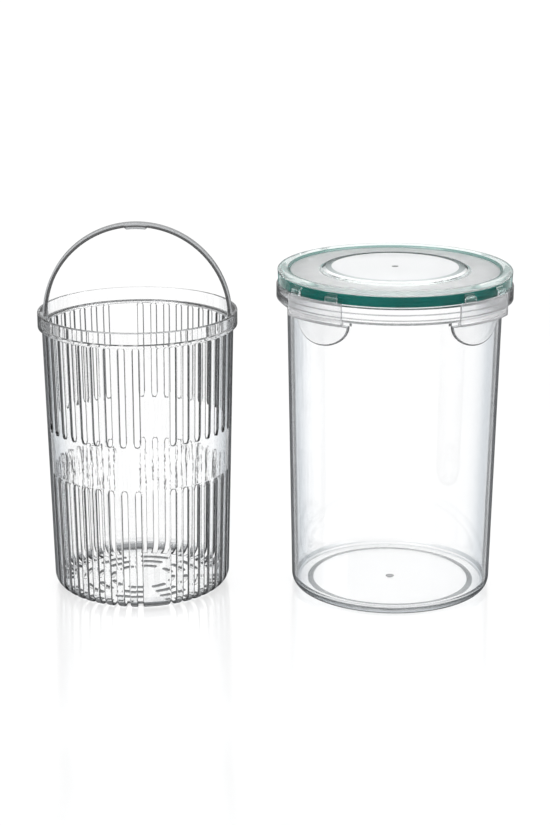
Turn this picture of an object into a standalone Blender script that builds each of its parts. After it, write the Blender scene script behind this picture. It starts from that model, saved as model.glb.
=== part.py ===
"""Clip-lid storage container with a lift-out strainer basket.

Metres, +Z up, standing on z = 0. The container stands to the right (+X), closed by its
lid and four swinging clips. The strainer basket that fits inside it stands to the left
with its bail handle upright. Every round piece is turned about its own upright axis,
and the sizes of what fits together are worked out from the values below.
"""

from math import cos, pi, radians, sin

import bmesh
import bpy
from mathutils import Matrix, Vector

# Fits
GAP = 0.0003
STAND_GAP = 0.0200

# Container
BASE_RADIUS = 0.0522
RIM_RADIUS = 0.0551
CONTAINER_WALL = 0.0018
FLOOR_THICKNESS = 0.0020
FOOT_CORNER_WIDTH = 0.0032
FOOT_CORNER_HEIGHT = 0.0050
FOOT_RING_WIDTH = 0.0045
FOOT_RING_HEIGHT = 0.0012
INNER_CORNER_RADIUS = 0.0038

# Flange and sealing lip round the container's mouth
FLANGE_UNDERSIDE = 0.1535
FLANGE_HEIGHT = 0.0083
FLANGE_REACH = 0.0055
FLANGE_CHAMFER = 0.0017
FLANGE_BANDS = 3
BAND_GROOVE_DEPTH = 0.0004
BAND_GROOVE_HEIGHT = 0.0006
LIP_STEP = 0.0009
LIP_WIDTH = 0.0020
LIP_HEIGHT = 0.0037
LIP_ROUNDING = 0.0005

# Ledges and thumb pads under the clips
LEDGE_REACH = 0.0028
LEDGE_HEIGHT = 0.0027
LEDGE_HALF_ANGLE = 19.5
PAD_DEPTH = 0.0015
PAD_HEIGHT = 0.0123
PAD_HALF_WIDTH = 0.0176
PAD_OVERLAP = 0.0004

# Lid
SKIRT_WALL = 0.0016
SKIRT_INSET = 0.0006
LID_HEIGHT = 0.0084
BEAD_WIDTH = 0.0060
BEAD_HEIGHT = 0.0017
LID_PLATE = 0.0016
DISC_RADIUS = 0.0365
DISC_STEP_WIDTH = 0.0018
DISC_STEP_HEIGHT = 0.0015
PLUG_WALL = 0.0016
PLUG_DEPTH = 0.0037

# Seal ring
SEAL_INNER_LEG = 0.0009
SEAL_INNER_LEG_DEPTH = 0.0021
SEAL_BODY = 0.0018

# Clips
CLIP_AZIMUTHS = {
    "clip_front_left": 225.0,
    "clip_front_right": 315.0,
    "clip_back_right": 45.0,
    "clip_back_left": 135.0,
}
CLIP_HALF_ANGLE = 16.9
CLIP_THICKNESS = 0.0014
CLIP_TAIL = 0.0010
HOOK_REACH = 0.0016
HOOK_TIP = 0.0003
HOOK_GAP = 0.0005
HINGE_RISE = 0.0041
WEB_LENGTH = 0.0025
WEB_THICKNESS = 0.0010
WEB_START_ANGLE = 8.0
WEB_END_ANGLE = 14.5
LUG_SETBACK = 0.0005
LUG_DEPTH = 0.0014
LUG_HEIGHT = 0.0017
LUG_RISE = 0.0001

# Strainer basket
BASKET_RIM_CLEARANCE = 0.0020
BASKET_HEADROOM = 0.0023
BASKET_WALL = 0.0015
BASKET_BASE = 0.0018
BASKET_CORNER = 0.0070
BASKET_TAPER = 0.0031
BASKET_RIM_DEPTH = 0.0082
BASKET_RIM_STEP = 0.0021

# Slots of the basket, in four panels of two tiers, and arcs through its base
PANELS = 4
SLOTS_PER_PANEL = 9
SLOT_PITCH_ANGLE = 8.5
SLOT_WIDTH = 0.0027
PATTERN_TURN = 13.3
MIDDLE_BAND_BOTTOM = 0.0645
MIDDLE_BAND_HEIGHT = 0.0235
SLOT_TOP_MARGIN = 0.0004
SLOT_CORNER = 0.0005
LOWER_SLOT_INSET = 0.0026
BASE_RINGS = 3
BASE_RING_PITCH = 0.0070
BASE_RING_MARGIN = 0.0065
BASE_ARCS = 8
BASE_ARC_ANGLE = 30.0
BASE_ARC_WIDTH = 0.0025

# Bail handle
BAIL_CLEARANCE = 0.0013
BAIL_THICKNESS = 0.0022
BAIL_WIDTH = 0.0052
BOSS_RADIUS = 0.0030
BOSS_THICKNESS = 0.0026
PIN_RADIUS = 0.0017
GRIP_ANGLE = 12.0
GRIP_DEPTH = 0.0010

# Facets
TURN_STEPS = 48
PLAIN_PANEL_STEPS = 2
SMALL_TURN_STEPS = 16
CORNER_STEPS = 3
SLOT_END_STEPS = 4
SLOT_CORNER_STEPS = 2
FACET_SHARP_ANGLE = 32.0
CUT_OVERSHOOT = 0.0040
MERGE_DISTANCE = 0.0000005

# Levels of the container, upwards
FLOOR_TOP = FOOT_RING_HEIGHT + FLOOR_THICKNESS
FLANGE_TOP = FLANGE_UNDERSIDE + FLANGE_HEIGHT
LIP_TOP = FLANGE_TOP + LIP_HEIGHT

# Radii about the container's axis, outwards
LIP_INNER = RIM_RADIUS - CONTAINER_WALL + LIP_STEP
LIP_OUTER = LIP_INNER + LIP_WIDTH
FLANGE_RADIUS = RIM_RADIUS + FLANGE_REACH
SKIRT_RADIUS = FLANGE_RADIUS - SKIRT_INSET
SKIRT_INNER = SKIRT_RADIUS - SKIRT_WALL
SEAL_INNER = LIP_INNER - GAP - SEAL_INNER_LEG
PLUG_OUTER = SEAL_INNER - GAP
HINGE_RADIUS = FLANGE_RADIUS + GAP

# Levels of the seal, the lid and the clips, upwards
SEAL_BOTTOM = FLANGE_TOP + 2 * GAP
SEAL_BODY_BOTTOM = LIP_TOP + GAP
SEAL_TOP = SEAL_BODY_BOTTOM + SEAL_BODY
SKIRT_BOTTOM = FLANGE_TOP + GAP
GROOVE_CEILING = SEAL_TOP + GAP
LID_TOP = SKIRT_BOTTOM + LID_HEIGHT
PLATE_TOP = LID_TOP - BEAD_HEIGHT
HINGE_LEVEL = SKIRT_BOTTOM + HINGE_RISE
CLIP_TOP = HINGE_LEVEL - GAP - WEB_LENGTH

# Basket, measured from its own foot
BASKET_HEIGHT = FLANGE_UNDERSIDE - FLOOR_TOP - BASKET_HEADROOM
BASKET_RIM_RADIUS = RIM_RADIUS - CONTAINER_WALL - BASKET_RIM_CLEARANCE
BASKET_TOP_RADIUS = BASKET_RIM_RADIUS - BASKET_RIM_STEP
BASKET_FOOT_RADIUS = BASKET_TOP_RADIUS - BASKET_TAPER
BASKET_RIM_INNER = BASKET_RIM_RADIUS - BASKET_WALL
RIM_BOTTOM = BASKET_HEIGHT - BASKET_RIM_DEPTH
SHELF_TOP = RIM_BOTTOM + BASKET_WALL
PIVOT_LEVEL = SHELF_TOP + GAP + BOSS_RADIUS
BAIL_RADIUS = BASKET_RIM_INNER - BAIL_CLEARANCE

# Places of the two upright axes: the whole set is centred on x = 0
SET_WIDTH = 2 * FLANGE_RADIUS + STAND_GAP + 2 * BASKET_RIM_RADIUS
CONTAINER_X = SET_WIDTH / 2 - FLANGE_RADIUS
BASKET_X = BASKET_RIM_RADIUS - SET_WIDTH / 2


def clear_objects():
    """Empty the file of objects, so that the script can be run again."""
    for item in list(bpy.data.objects):
        bpy.data.objects.remove(item, do_unlink=True)


def make_material(name, colour, roughness, transmission=0.0):
    """Return a Principled material for moulded plastic or silicone."""
    material = bpy.data.materials.new(name)
    material.use_nodes = True
    shader = material.node_tree.nodes["Principled BSDF"]
    shader.inputs["Base Color"].default_value = (*colour, 1.0)
    shader.inputs["Roughness"].default_value = roughness
    shader.inputs["Metallic"].default_value = 0.0
    shader.inputs["Transmission Weight"].default_value = transmission
    material.diffuse_color = (*colour, 1.0)
    return material


def make_stand(name, x):
    """Return an empty on one of the two upright axes."""
    stand = bpy.data.objects.new(name, None)
    stand.location = (x, 0.0, 0.0)
    bpy.context.scene.collection.objects.link(stand)
    return stand


def make_object(name, shape, parent, material=None):
    """Turn a bmesh into an object; one without a material is a hidden cutter or blank."""
    bmesh.ops.recalc_face_normals(shape, faces=shape.faces)
    mesh = bpy.data.meshes.new(name)
    shape.to_mesh(mesh)
    shape.free()
    mesh.shade_smooth()
    mesh.set_sharp_from_angle(angle=radians(FACET_SHARP_ANGLE))
    item = bpy.data.objects.new(name, mesh)
    item.parent = parent
    bpy.context.scene.collection.objects.link(item)
    if material is None:
        item.hide_render = True
        item.display_type = "WIRE"
    else:
        mesh.materials.append(material)
    return item


def combine(target, tool, operation):
    """Add a live exact Boolean of target with tool."""
    modifier = target.modifiers.new(tool.name, "BOOLEAN")
    modifier.operation = operation
    modifier.solver = "EXACT"
    modifier.object = tool


def arc(centre_r, centre_z, half_width, half_height, start, end, steps=CORNER_STEPS):
    """Return (radius, height) points on an elliptic arc, from start to end in degrees."""
    points = []
    for i in range(steps + 1):
        angle = radians(start + (end - start) * i / steps)
        points.append((centre_r + half_width * cos(angle), centre_z + half_height * sin(angle)))
    return points


def add_turned(shape, outline, closed, steps=TURN_STEPS):
    """Spin a (radius, height) outline all the way round Z; a closed outline makes a ring."""
    verts = [shape.verts.new((radius, 0.0, height)) for radius, height in outline]
    ends = verts[1:] + verts[:1] if closed else verts[1:]
    edges = [shape.edges.new(pair) for pair in zip(verts, ends)]
    bmesh.ops.spin(shape, geom=verts + edges, cent=(0, 0, 0), axis=(0, 0, 1),
                   angle=2 * pi, steps=steps, use_merge=True)
    bmesh.ops.remove_doubles(shape, verts=shape.verts, dist=MERGE_DISTANCE)


def add_turned_by_turns(shape, outline, start, turns):
    """Spin an axis-to-axis outline all the way round Z in steps of the given angles."""
    first = Matrix.Rotation(radians(start), 4, "Z")
    verts = [shape.verts.new(first @ Vector((radius, 0.0, height))) for radius, height in outline]
    front = verts + [shape.edges.new(pair) for pair in zip(verts, verts[1:])]
    for turn in turns:
        swept = bmesh.ops.spin(shape, geom=front, cent=(0, 0, 0), axis=(0, 0, 1),
                               angle=radians(turn), steps=1)
        front = swept["geom_last"]
    bmesh.ops.remove_doubles(shape, verts=shape.verts, dist=MERGE_DISTANCE)


def push_faces(shape, wanted, offset):
    """Extrude the faces for which wanted(face) is true, by an offset."""
    faces = [face for face in shape.faces if wanted(face)]
    grown = bmesh.ops.extrude_face_region(shape, geom=faces)
    bmesh.ops.delete(shape, geom=faces, context="FACES")
    moved = [item for item in grown["geom"] if isinstance(item, bmesh.types.BMVert)]
    bmesh.ops.translate(shape, verts=moved, vec=offset)


def add_prism(shape, outline, near, far, azimuth):
    """Add a prism: a (y, z) outline run out along X from near to far, then turned about Z."""
    face = shape.faces.new([shape.verts.new((near, y, z)) for y, z in outline])
    grown = bmesh.ops.extrude_face_region(shape, geom=[face])
    outer = [item for item in grown["geom"] if isinstance(item, bmesh.types.BMVert)]
    bmesh.ops.translate(shape, verts=outer, vec=(far - near, 0, 0))
    turn = Matrix.Rotation(radians(azimuth), 3, "Z")
    bmesh.ops.rotate(shape, verts=[*face.verts, *outer], cent=(0, 0, 0), matrix=turn)


def add_sector(shape, outline, stops, steps_between):
    """Sweep a closed (radius, height) outline about Z from one stop to the next, in degrees."""
    start = Matrix.Rotation(radians(stops[0]), 4, "Z")
    corners = [start @ Vector((radius, 0.0, height)) for radius, height in outline]
    face = shape.faces.new([shape.verts.new(corner) for corner in corners])
    front = [face, *face.edges, *face.verts]
    for i, steps in enumerate(steps_between):
        swept = bmesh.ops.spin(shape, geom=front, cent=(0, 0, 0), axis=(0, 0, 1),
                               angle=radians(stops[i + 1] - stops[i]), steps=steps)
        front = swept["geom_last"]


def container_outline():
    """Return the container's section, from the underside's middle to the floor's middle."""
    ring_outer = BASE_RADIUS - FOOT_CORNER_WIDTH
    ring_inner = ring_outer - FOOT_RING_WIDTH
    floor_corner = BASE_RADIUS - CONTAINER_WALL - INNER_CORNER_RADIUS
    band = FLANGE_HEIGHT / FLANGE_BANDS
    half_groove = BAND_GROOVE_HEIGHT / 2
    outline = [(0.0, FOOT_RING_HEIGHT), (ring_inner - 2 * FOOT_RING_HEIGHT, FOOT_RING_HEIGHT),
               (ring_inner, 0.0)]
    outline += arc(ring_outer, FOOT_CORNER_HEIGHT, FOOT_CORNER_WIDTH, FOOT_CORNER_HEIGHT, 270, 360)
    outline += [(RIM_RADIUS, FLANGE_UNDERSIDE),
                (FLANGE_RADIUS - FLANGE_CHAMFER, FLANGE_UNDERSIDE),
                (FLANGE_RADIUS, FLANGE_UNDERSIDE + FLANGE_CHAMFER)]
    for i in range(1, FLANGE_BANDS):
        level = FLANGE_UNDERSIDE + i * band
        outline += [(FLANGE_RADIUS, level - half_groove),
                    (FLANGE_RADIUS - BAND_GROOVE_DEPTH, level),
                    (FLANGE_RADIUS, level + half_groove)]
    outline += [(FLANGE_RADIUS, FLANGE_TOP), (LIP_OUTER, FLANGE_TOP),
                (LIP_OUTER, LIP_TOP - LIP_ROUNDING), (LIP_OUTER - LIP_ROUNDING, LIP_TOP),
                (LIP_INNER + LIP_ROUNDING, LIP_TOP), (LIP_INNER, LIP_TOP - LIP_ROUNDING),
                (LIP_INNER, FLANGE_TOP), (RIM_RADIUS - CONTAINER_WALL, FLANGE_UNDERSIDE)]
    outline += arc(floor_corner, FLOOR_TOP + INNER_CORNER_RADIUS, INNER_CORNER_RADIUS,
                   INNER_CORNER_RADIUS, 0, -90)
    outline += [(0.0, FLOOR_TOP)]
    return outline


def make_container(stand, clear):
    """Make the cup, with a ledge and a half-moon thumb pad under each clip."""
    shape = bmesh.new()
    add_turned(shape, container_outline(), closed=False)
    container = make_object("container", shape, stand, clear)

    pad_top = FLANGE_UNDERSIDE - LEDGE_HEIGHT + PAD_OVERLAP
    pad_bottom = pad_top - PAD_HEIGHT
    slope = (RIM_RADIUS - BASE_RADIUS) / (FLANGE_UNDERSIDE - FOOT_CORNER_HEIGHT)
    wall_low = RIM_RADIUS - slope * (FLANGE_UNDERSIDE - pad_bottom + CUT_OVERSHOOT)
    wall_high = RIM_RADIUS - slope * (FLANGE_UNDERSIDE - pad_top - CUT_OVERSHOOT)
    blank = bmesh.new()
    add_turned(blank, [
        (wall_low - CONTAINER_WALL / 2, pad_bottom - CUT_OVERSHOOT),
        (wall_low + PAD_DEPTH, pad_bottom - CUT_OVERSHOOT),
        (wall_high + PAD_DEPTH, pad_top + CUT_OVERSHOOT),
        (wall_high - CONTAINER_WALL / 2, pad_top + CUT_OVERSHOOT)], closed=True)
    pads = make_object("pad_blank", blank, stand)

    moons = bmesh.new()
    ledges = bmesh.new()
    ledge_bottom = FLANGE_UNDERSIDE - LEDGE_HEIGHT
    ledge = [(RIM_RADIUS - CONTAINER_WALL / 2, ledge_bottom),
             (RIM_RADIUS + LEDGE_REACH, ledge_bottom + LEDGE_HEIGHT / 3),
             (RIM_RADIUS + LEDGE_REACH, FLANGE_UNDERSIDE + FLANGE_CHAMFER / 2),
             (RIM_RADIUS - CONTAINER_WALL / 2, FLANGE_UNDERSIDE + FLANGE_CHAMFER / 2)]
    for azimuth in CLIP_AZIMUTHS.values():
        outline = arc(0.0, pad_top, PAD_HALF_WIDTH, PAD_HEIGHT, 180, 360, 3 * CORNER_STEPS)
        add_prism(moons, outline, RIM_RADIUS / 2, RIM_RADIUS + 2 * PAD_DEPTH, azimuth)
        add_sector(ledges, ledge, (azimuth - LEDGE_HALF_ANGLE, azimuth + LEDGE_HALF_ANGLE), (8,))
    combine(pads, make_object("pad_outlines", moons, stand), "INTERSECT")
    combine(container, pads, "UNION")
    combine(container, make_object("clip_ledges", ledges, stand), "UNION")


def lid_outline():
    """Return the lid's section, from its underside's middle to its top's middle."""
    under = PLATE_TOP - LID_PLATE
    disc_top = PLATE_TOP + DISC_STEP_HEIGHT
    plug_inner = PLUG_OUTER - PLUG_WALL
    plug_bottom = under - PLUG_DEPTH
    bead_centre = SKIRT_RADIUS - BEAD_WIDTH / 2
    bead_side = LID_TOP - BEAD_HEIGHT
    outline = [(0.0, disc_top - LID_PLATE), (DISC_RADIUS - LID_PLATE, disc_top - LID_PLATE),
               (DISC_RADIUS + DISC_STEP_WIDTH - LID_PLATE, under), (plug_inner, under),
               (plug_inner, plug_bottom), (PLUG_OUTER, plug_bottom),
               (PLUG_OUTER, GROOVE_CEILING), (SKIRT_INNER, GROOVE_CEILING),
               (SKIRT_INNER, SKIRT_BOTTOM), (SKIRT_RADIUS, SKIRT_BOTTOM)]
    outline += arc(bead_centre, bead_side, BEAD_WIDTH / 2, BEAD_HEIGHT, 0, 180, 2 * CORNER_STEPS)
    outline += [(DISC_RADIUS + DISC_STEP_WIDTH, PLATE_TOP), (DISC_RADIUS, disc_top),
                (0.0, disc_top)]
    return outline


def make_lid(stand, clear):
    """Make the lid, with two hinge lugs on its skirt for each clip."""
    shape = bmesh.new()
    add_turned(shape, lid_outline(), closed=False)
    lid = make_object("lid", shape, stand, clear)
    lug_outer = HINGE_RADIUS - LUG_SETBACK
    lug_inner = lug_outer - LUG_DEPTH
    lug_bottom = HINGE_LEVEL + LUG_RISE
    lug = [(lug_inner, lug_bottom), (lug_outer, lug_bottom),
           (lug_outer, lug_bottom + LUG_HEIGHT / 2), (lug_inner, lug_bottom + LUG_HEIGHT)]
    lugs = bmesh.new()
    for azimuth in CLIP_AZIMUTHS.values():
        add_sector(lugs, lug, (azimuth - WEB_END_ANGLE, azimuth - WEB_START_ANGLE), (2,))
        add_sector(lugs, lug, (azimuth + WEB_START_ANGLE, azimuth + WEB_END_ANGLE), (2,))
    combine(lid, make_object("hinge_lugs", lugs, stand), "UNION")


def make_seal(stand, silicone):
    """Make the seal ring, a U turned upside down over the container's lip."""
    leg_bottom = LIP_TOP - SEAL_INNER_LEG_DEPTH
    shape = bmesh.new()
    add_turned(shape, [
        (LIP_OUTER + GAP, SEAL_BOTTOM), (SKIRT_INNER - GAP, SEAL_BOTTOM),
        (SKIRT_INNER - GAP, SEAL_TOP), (SEAL_INNER, SEAL_TOP),
        (SEAL_INNER, leg_bottom), (LIP_INNER - GAP, leg_bottom),
        (LIP_INNER - GAP, SEAL_BODY_BOTTOM), (LIP_OUTER + GAP, SEAL_BODY_BOTTOM)], closed=True)
    make_object("seal_ring", shape, stand, silicone)


def clip_shape():
    """Return the clip's bmesh about its hinge axis: a curved plate, its hook and two webs."""
    inner = HINGE_RADIUS
    outer = inner + CLIP_THICKNESS
    chamfer_foot = FLANGE_RADIUS - FLANGE_CHAMFER
    hook_radius = FLANGE_RADIUS - HOOK_REACH
    hook_tip_top = FLANGE_UNDERSIDE + hook_radius - chamfer_foot - HOOK_GAP
    hook_root_top = FLANGE_UNDERSIDE + inner - chamfer_foot - HOOK_GAP
    hook_bottom = hook_tip_top - HOOK_TIP
    tail = hook_bottom - CLIP_TAIL
    outline = [(inner, CLIP_TOP), (inner, hook_root_top), (hook_radius, hook_tip_top),
               (hook_radius, hook_bottom), (inner, tail), (outer, tail), (outer, CLIP_TOP),
               (inner + WEB_THICKNESS, CLIP_TOP)]
    stops = (-CLIP_HALF_ANGLE, -WEB_END_ANGLE, -WEB_START_ANGLE,
             WEB_START_ANGLE, WEB_END_ANGLE, CLIP_HALF_ANGLE)
    shape = bmesh.new()
    add_sector(shape, outline, stops, (1, 2, 5, 2, 1))
    bmesh.ops.recalc_face_normals(shape, faces=shape.faces)

    def under_web(face):
        centre = face.calc_center_median()
        angle = abs(Vector((centre.x, centre.y)).angle_signed(Vector((1, 0))))
        level = abs(centre.z - CLIP_TOP) < MERGE_DISTANCE
        return (level and centre.xy.length < inner + WEB_THICKNESS
                and radians(WEB_START_ANGLE) < angle < radians(WEB_END_ANGLE))

    push_faces(shape, under_web, (0, 0, WEB_LENGTH))
    bmesh.ops.translate(shape, verts=shape.verts, vec=(-HINGE_RADIUS, 0, -HINGE_LEVEL))
    return shape


def make_clips(stand, milky):
    """Make the four clips; they share one mesh, and each has its origin on its hinge axis."""
    mesh = None
    for name, azimuth in CLIP_AZIMUTHS.items():
        if mesh is None:
            clip = make_object(name, clip_shape(), stand, milky)
            mesh = clip.data
        else:
            clip = bpy.data.objects.new(name, mesh)
            clip.parent = stand
            bpy.context.scene.collection.objects.link(clip)
        angle = radians(azimuth)
        clip.location = (HINGE_RADIUS * cos(angle), HINGE_RADIUS * sin(angle), HINGE_LEVEL)
        clip.rotation_euler = (0.0, 0.0, angle)


def basket_outline():
    """Return the basket's section, from its underside's middle to its floor's middle."""
    corner_centre = BASKET_FOOT_RADIUS - BASKET_CORNER
    inner_corner = BASKET_CORNER - BASKET_WALL
    outline = [(0.0, 0.0)]
    outline += arc(corner_centre, BASKET_CORNER, BASKET_CORNER, BASKET_CORNER, 270, 360)
    outline += [(BASKET_TOP_RADIUS, RIM_BOTTOM), (BASKET_RIM_RADIUS, RIM_BOTTOM),
                (BASKET_RIM_RADIUS, BASKET_HEIGHT), (BASKET_RIM_INNER, BASKET_HEIGHT),
                (BASKET_RIM_INNER, SHELF_TOP), (BASKET_TOP_RADIUS - BASKET_WALL, SHELF_TOP)]
    outline += arc(corner_centre, BASKET_BASE + inner_corner, inner_corner, inner_corner, 0, -90)
    outline += [(0.0, BASKET_BASE)]
    return outline


def upper_slot_outline():
    """Return an upper slot's (y, z) outline: a round bottom, and a square top under the rim."""
    half = SLOT_WIDTH / 2
    bottom = MIDDLE_BAND_BOTTOM + MIDDLE_BAND_HEIGHT
    top = RIM_BOTTOM - SLOT_TOP_MARGIN
    inset = half - SLOT_CORNER
    outline = arc(0.0, bottom + half, half, half, 180, 360, SLOT_END_STEPS)
    for side, start in ((inset, 0), (-inset, 90)):
        outline += arc(side, top - SLOT_CORNER, SLOT_CORNER, SLOT_CORNER, start, start + 90,
                       SLOT_CORNER_STEPS)
    return outline


def lower_slot_outline():
    """Return a lower slot's (y, z) outline: a round top, and sides that run out of the base."""
    half = SLOT_WIDTH / 2
    outline = arc(0.0, MIDDLE_BAND_BOTTOM - half, half, half, 0, 180, SLOT_END_STEPS)
    return outline + [(-half, -CUT_OVERSHOOT), (half, -CUT_OVERSHOOT)]


def make_basket(stand, clear):
    """Make the strainer: a turned cup cut by two tiers of slots, base arcs and pin holes."""
    panel_angle = 360.0 / PANELS
    slotted_angle = SLOTS_PER_PANEL * SLOT_PITCH_ANGLE
    first = PATTERN_TURN - panel_angle / 2 - slotted_angle / 2
    plain_turn = (panel_angle - slotted_angle) / PLAIN_PANEL_STEPS
    turns = PANELS * [*SLOTS_PER_PANEL * [SLOT_PITCH_ANGLE], *PLAIN_PANEL_STEPS * [plain_turn]]
    shape = bmesh.new()
    add_turned_by_turns(shape, basket_outline(), first, turns)
    basket = make_object("strainer_basket", shape, stand, clear)

    upper = bmesh.new()
    lower = bmesh.new()
    foot_flat = BASKET_FOOT_RADIUS - BASKET_CORNER
    lower_start = foot_flat - LOWER_SLOT_INSET
    far = BASKET_RIM_RADIUS + CUT_OVERSHOOT
    for panel in range(PANELS):
        for i in range(SLOTS_PER_PANEL):
            azimuth = first + panel * panel_angle + (i + 0.5) * SLOT_PITCH_ANGLE
            add_prism(upper, upper_slot_outline(), foot_flat, far, azimuth)
            add_prism(lower, lower_slot_outline(), lower_start, far, azimuth)
    combine(basket, make_object("upper_slots", upper, stand), "DIFFERENCE")
    combine(basket, make_object("lower_slots", lower, stand), "DIFFERENCE")

    arcs = bmesh.new()
    half_width = BASE_ARC_WIDTH / 2
    for ring in range(BASE_RINGS):
        middle = lower_start - BASE_RING_MARGIN - ring * BASE_RING_PITCH
        section = [(middle - half_width, -CUT_OVERSHOOT), (middle + half_width, -CUT_OVERSHOOT),
                   (middle + half_width, BASKET_BASE + CUT_OVERSHOOT),
                   (middle - half_width, BASKET_BASE + CUT_OVERSHOOT)]
        for i in range(BASE_ARCS):
            centre = PATTERN_TURN + (i + 0.5) * 360.0 / BASE_ARCS
            stops = (centre - BASE_ARC_ANGLE / 2, centre + BASE_ARC_ANGLE / 2)
            add_sector(arcs, section, stops, (2,))
    combine(basket, make_object("base_arcs", arcs, stand), "DIFFERENCE")

    holes = bmesh.new()
    reach = BASKET_RIM_RADIUS + CUT_OVERSHOOT
    bmesh.ops.create_cone(holes, cap_ends=True, segments=SMALL_TURN_STEPS, depth=2 * reach,
                          radius1=PIN_RADIUS + GAP, radius2=PIN_RADIUS + GAP,
                          matrix=Matrix.Translation((0, 0, PIVOT_LEVEL))
                          @ Matrix.Rotation(pi / 2, 4, "Y"))
    combine(basket, make_object("pin_holes", holes, stand), "DIFFERENCE")


def make_bail(stand, grey):
    """Make the bail handle upright, with its origin on the pivot axis."""
    half_width = BAIL_WIDTH / 2
    inner = BAIL_RADIUS - BAIL_THICKNESS
    section = [(inner, -half_width), (BAIL_RADIUS, -half_width),
               (BAIL_RADIUS, half_width), (inner, half_width)]
    stops = (0.0, 90.0 - GRIP_ANGLE / 2, 90.0 + GRIP_ANGLE / 2, 180.0)
    shape = bmesh.new()
    add_sector(shape, section, stops, (13, 2, 13))
    bmesh.ops.recalc_face_normals(shape, faces=shape.faces)

    def under_grip(face):
        centre = face.calc_center_median()
        from_top = abs(Vector((centre.x, centre.y)).angle_signed(Vector((0, 1))))
        return (centre.xy.length < inner + MERGE_DISTANCE and abs(centre.z) < MERGE_DISTANCE
                and from_top < radians(GRIP_ANGLE / 2))

    push_faces(shape, under_grip, (0, -GRIP_DEPTH, 0))
    bmesh.ops.rotate(shape, verts=shape.verts, cent=(0, 0, 0),
                     matrix=Matrix.Rotation(pi / 2, 3, "X"))
    bail = make_object("bail_handle", shape, stand, grey)
    bail.location = (0.0, 0.0, PIVOT_LEVEL)

    boss_outer = BAIL_RADIUS + (BOSS_THICKNESS - BAIL_THICKNESS) / 2
    boss_inner = boss_outer - BOSS_THICKNESS
    pin_end = BASKET_RIM_RADIUS - GAP
    bosses = bmesh.new()
    for turn in (pi / 2, -pi / 2):
        boss = bmesh.new()
        add_turned(boss, [(0.0, boss_inner), (BOSS_RADIUS, boss_inner), (BOSS_RADIUS, boss_outer),
                          (PIN_RADIUS, boss_outer), (PIN_RADIUS, pin_end), (0.0, pin_end)],
                   closed=False, steps=SMALL_TURN_STEPS)
        bmesh.ops.rotate(boss, verts=boss.verts, cent=(0, 0, 0),
                         matrix=Matrix.Rotation(turn, 3, "Y"))
        side = bpy.data.meshes.new("boss_side")
        boss.to_mesh(side)
        boss.free()
        bosses.from_mesh(side)
        bpy.data.meshes.remove(side)
    combine(bail, make_object("bail_bosses", bosses, bail), "UNION")


def main():
    """Build the whole set."""
    clear_objects()
    clear = make_material("clear_plastic", (0.90, 0.92, 0.93), 0.05, transmission=0.9)
    milky = make_material("milky_plastic", (0.80, 0.83, 0.84), 0.30, transmission=0.4)
    grey = make_material("grey_plastic", (0.55, 0.57, 0.59), 0.25, transmission=0.4)
    silicone = make_material("teal_silicone", (0.0, 0.13, 0.11), 0.55)
    container_stand = make_stand("container_stand", CONTAINER_X)
    basket_stand = make_stand("basket_stand", BASKET_X)
    make_container(container_stand, clear)
    make_lid(container_stand, clear)
    make_seal(container_stand, silicone)
    make_clips(container_stand, milky)
    make_basket(basket_stand, clear)
    make_bail(basket_stand, grey)


main()
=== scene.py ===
"""Clip-lid storage container and its strainer basket: the looks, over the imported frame.

Metres, +Z up. The container, its lid, seal and four clips are turned or wrapped about the
upright axis on the right; the strainer basket and its bail are made about the one on the left.
Both axes and the main levels come from the frame's own pieces.
"""

import logging
from dataclasses import dataclass, field
from enum import Enum
from functools import cache
from math import asin, atan2, cos, degrees, pi, radians, sin, sqrt, tan
from typing import Callable, Iterable, Optional

import bmesh
import bpy
from mathutils import Matrix, Vector


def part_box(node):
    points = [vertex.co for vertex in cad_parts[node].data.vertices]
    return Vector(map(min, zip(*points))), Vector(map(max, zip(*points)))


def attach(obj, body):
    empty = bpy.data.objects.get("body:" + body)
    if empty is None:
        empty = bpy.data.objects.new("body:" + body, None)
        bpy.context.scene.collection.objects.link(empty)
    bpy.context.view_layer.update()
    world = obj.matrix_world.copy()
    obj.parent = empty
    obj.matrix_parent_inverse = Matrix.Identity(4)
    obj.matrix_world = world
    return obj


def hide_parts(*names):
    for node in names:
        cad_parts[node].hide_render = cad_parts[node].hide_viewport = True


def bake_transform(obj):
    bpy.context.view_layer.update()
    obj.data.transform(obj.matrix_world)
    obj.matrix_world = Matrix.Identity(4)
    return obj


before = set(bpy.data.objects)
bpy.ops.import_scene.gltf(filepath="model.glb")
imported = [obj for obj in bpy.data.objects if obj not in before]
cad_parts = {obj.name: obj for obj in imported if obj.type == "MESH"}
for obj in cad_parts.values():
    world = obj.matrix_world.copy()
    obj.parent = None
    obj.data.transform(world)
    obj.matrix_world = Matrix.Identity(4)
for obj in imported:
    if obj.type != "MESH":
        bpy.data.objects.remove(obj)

LOG = logging.getLogger("clip_lid_container")

MM = 0.001
MERGE = 0.0000005  # points closer than this are one
HOLD = 0.00018  # how close to its ends a straight stretch has the points that hold its shading
SHARP_ANGLE = 33.0  # edges that turn by more are shaded sharp
STEPS = 192  # of a full turn
BEND = 1.6 * MM  # the spacing of the cuts that let a flat shape bend
LEVEL = 0.96  # a normal with more than this along Z is a level face's
BEHIND = 1.07  # how bright the white behind clear plastic is, as the plastic takes some of it

Mesh = bmesh.types.BMesh
Item = bpy.types.Object
Node = bpy.types.Node
Socket = bpy.types.NodeSocket
Point = tuple[float, float]
Place = tuple[float, float, float]
Tone = float | tuple[float, float, float]  # a grey, or a colour
Stops = tuple[tuple[float, Tone], ...]


class Body(Enum):
    """The bodies of the frame that pieces ride on, apart from the clips' own."""

    CONTAINER = "container"
    LID = "lid"
    BASKET = "basket"
    BAIL = "bail"


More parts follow.
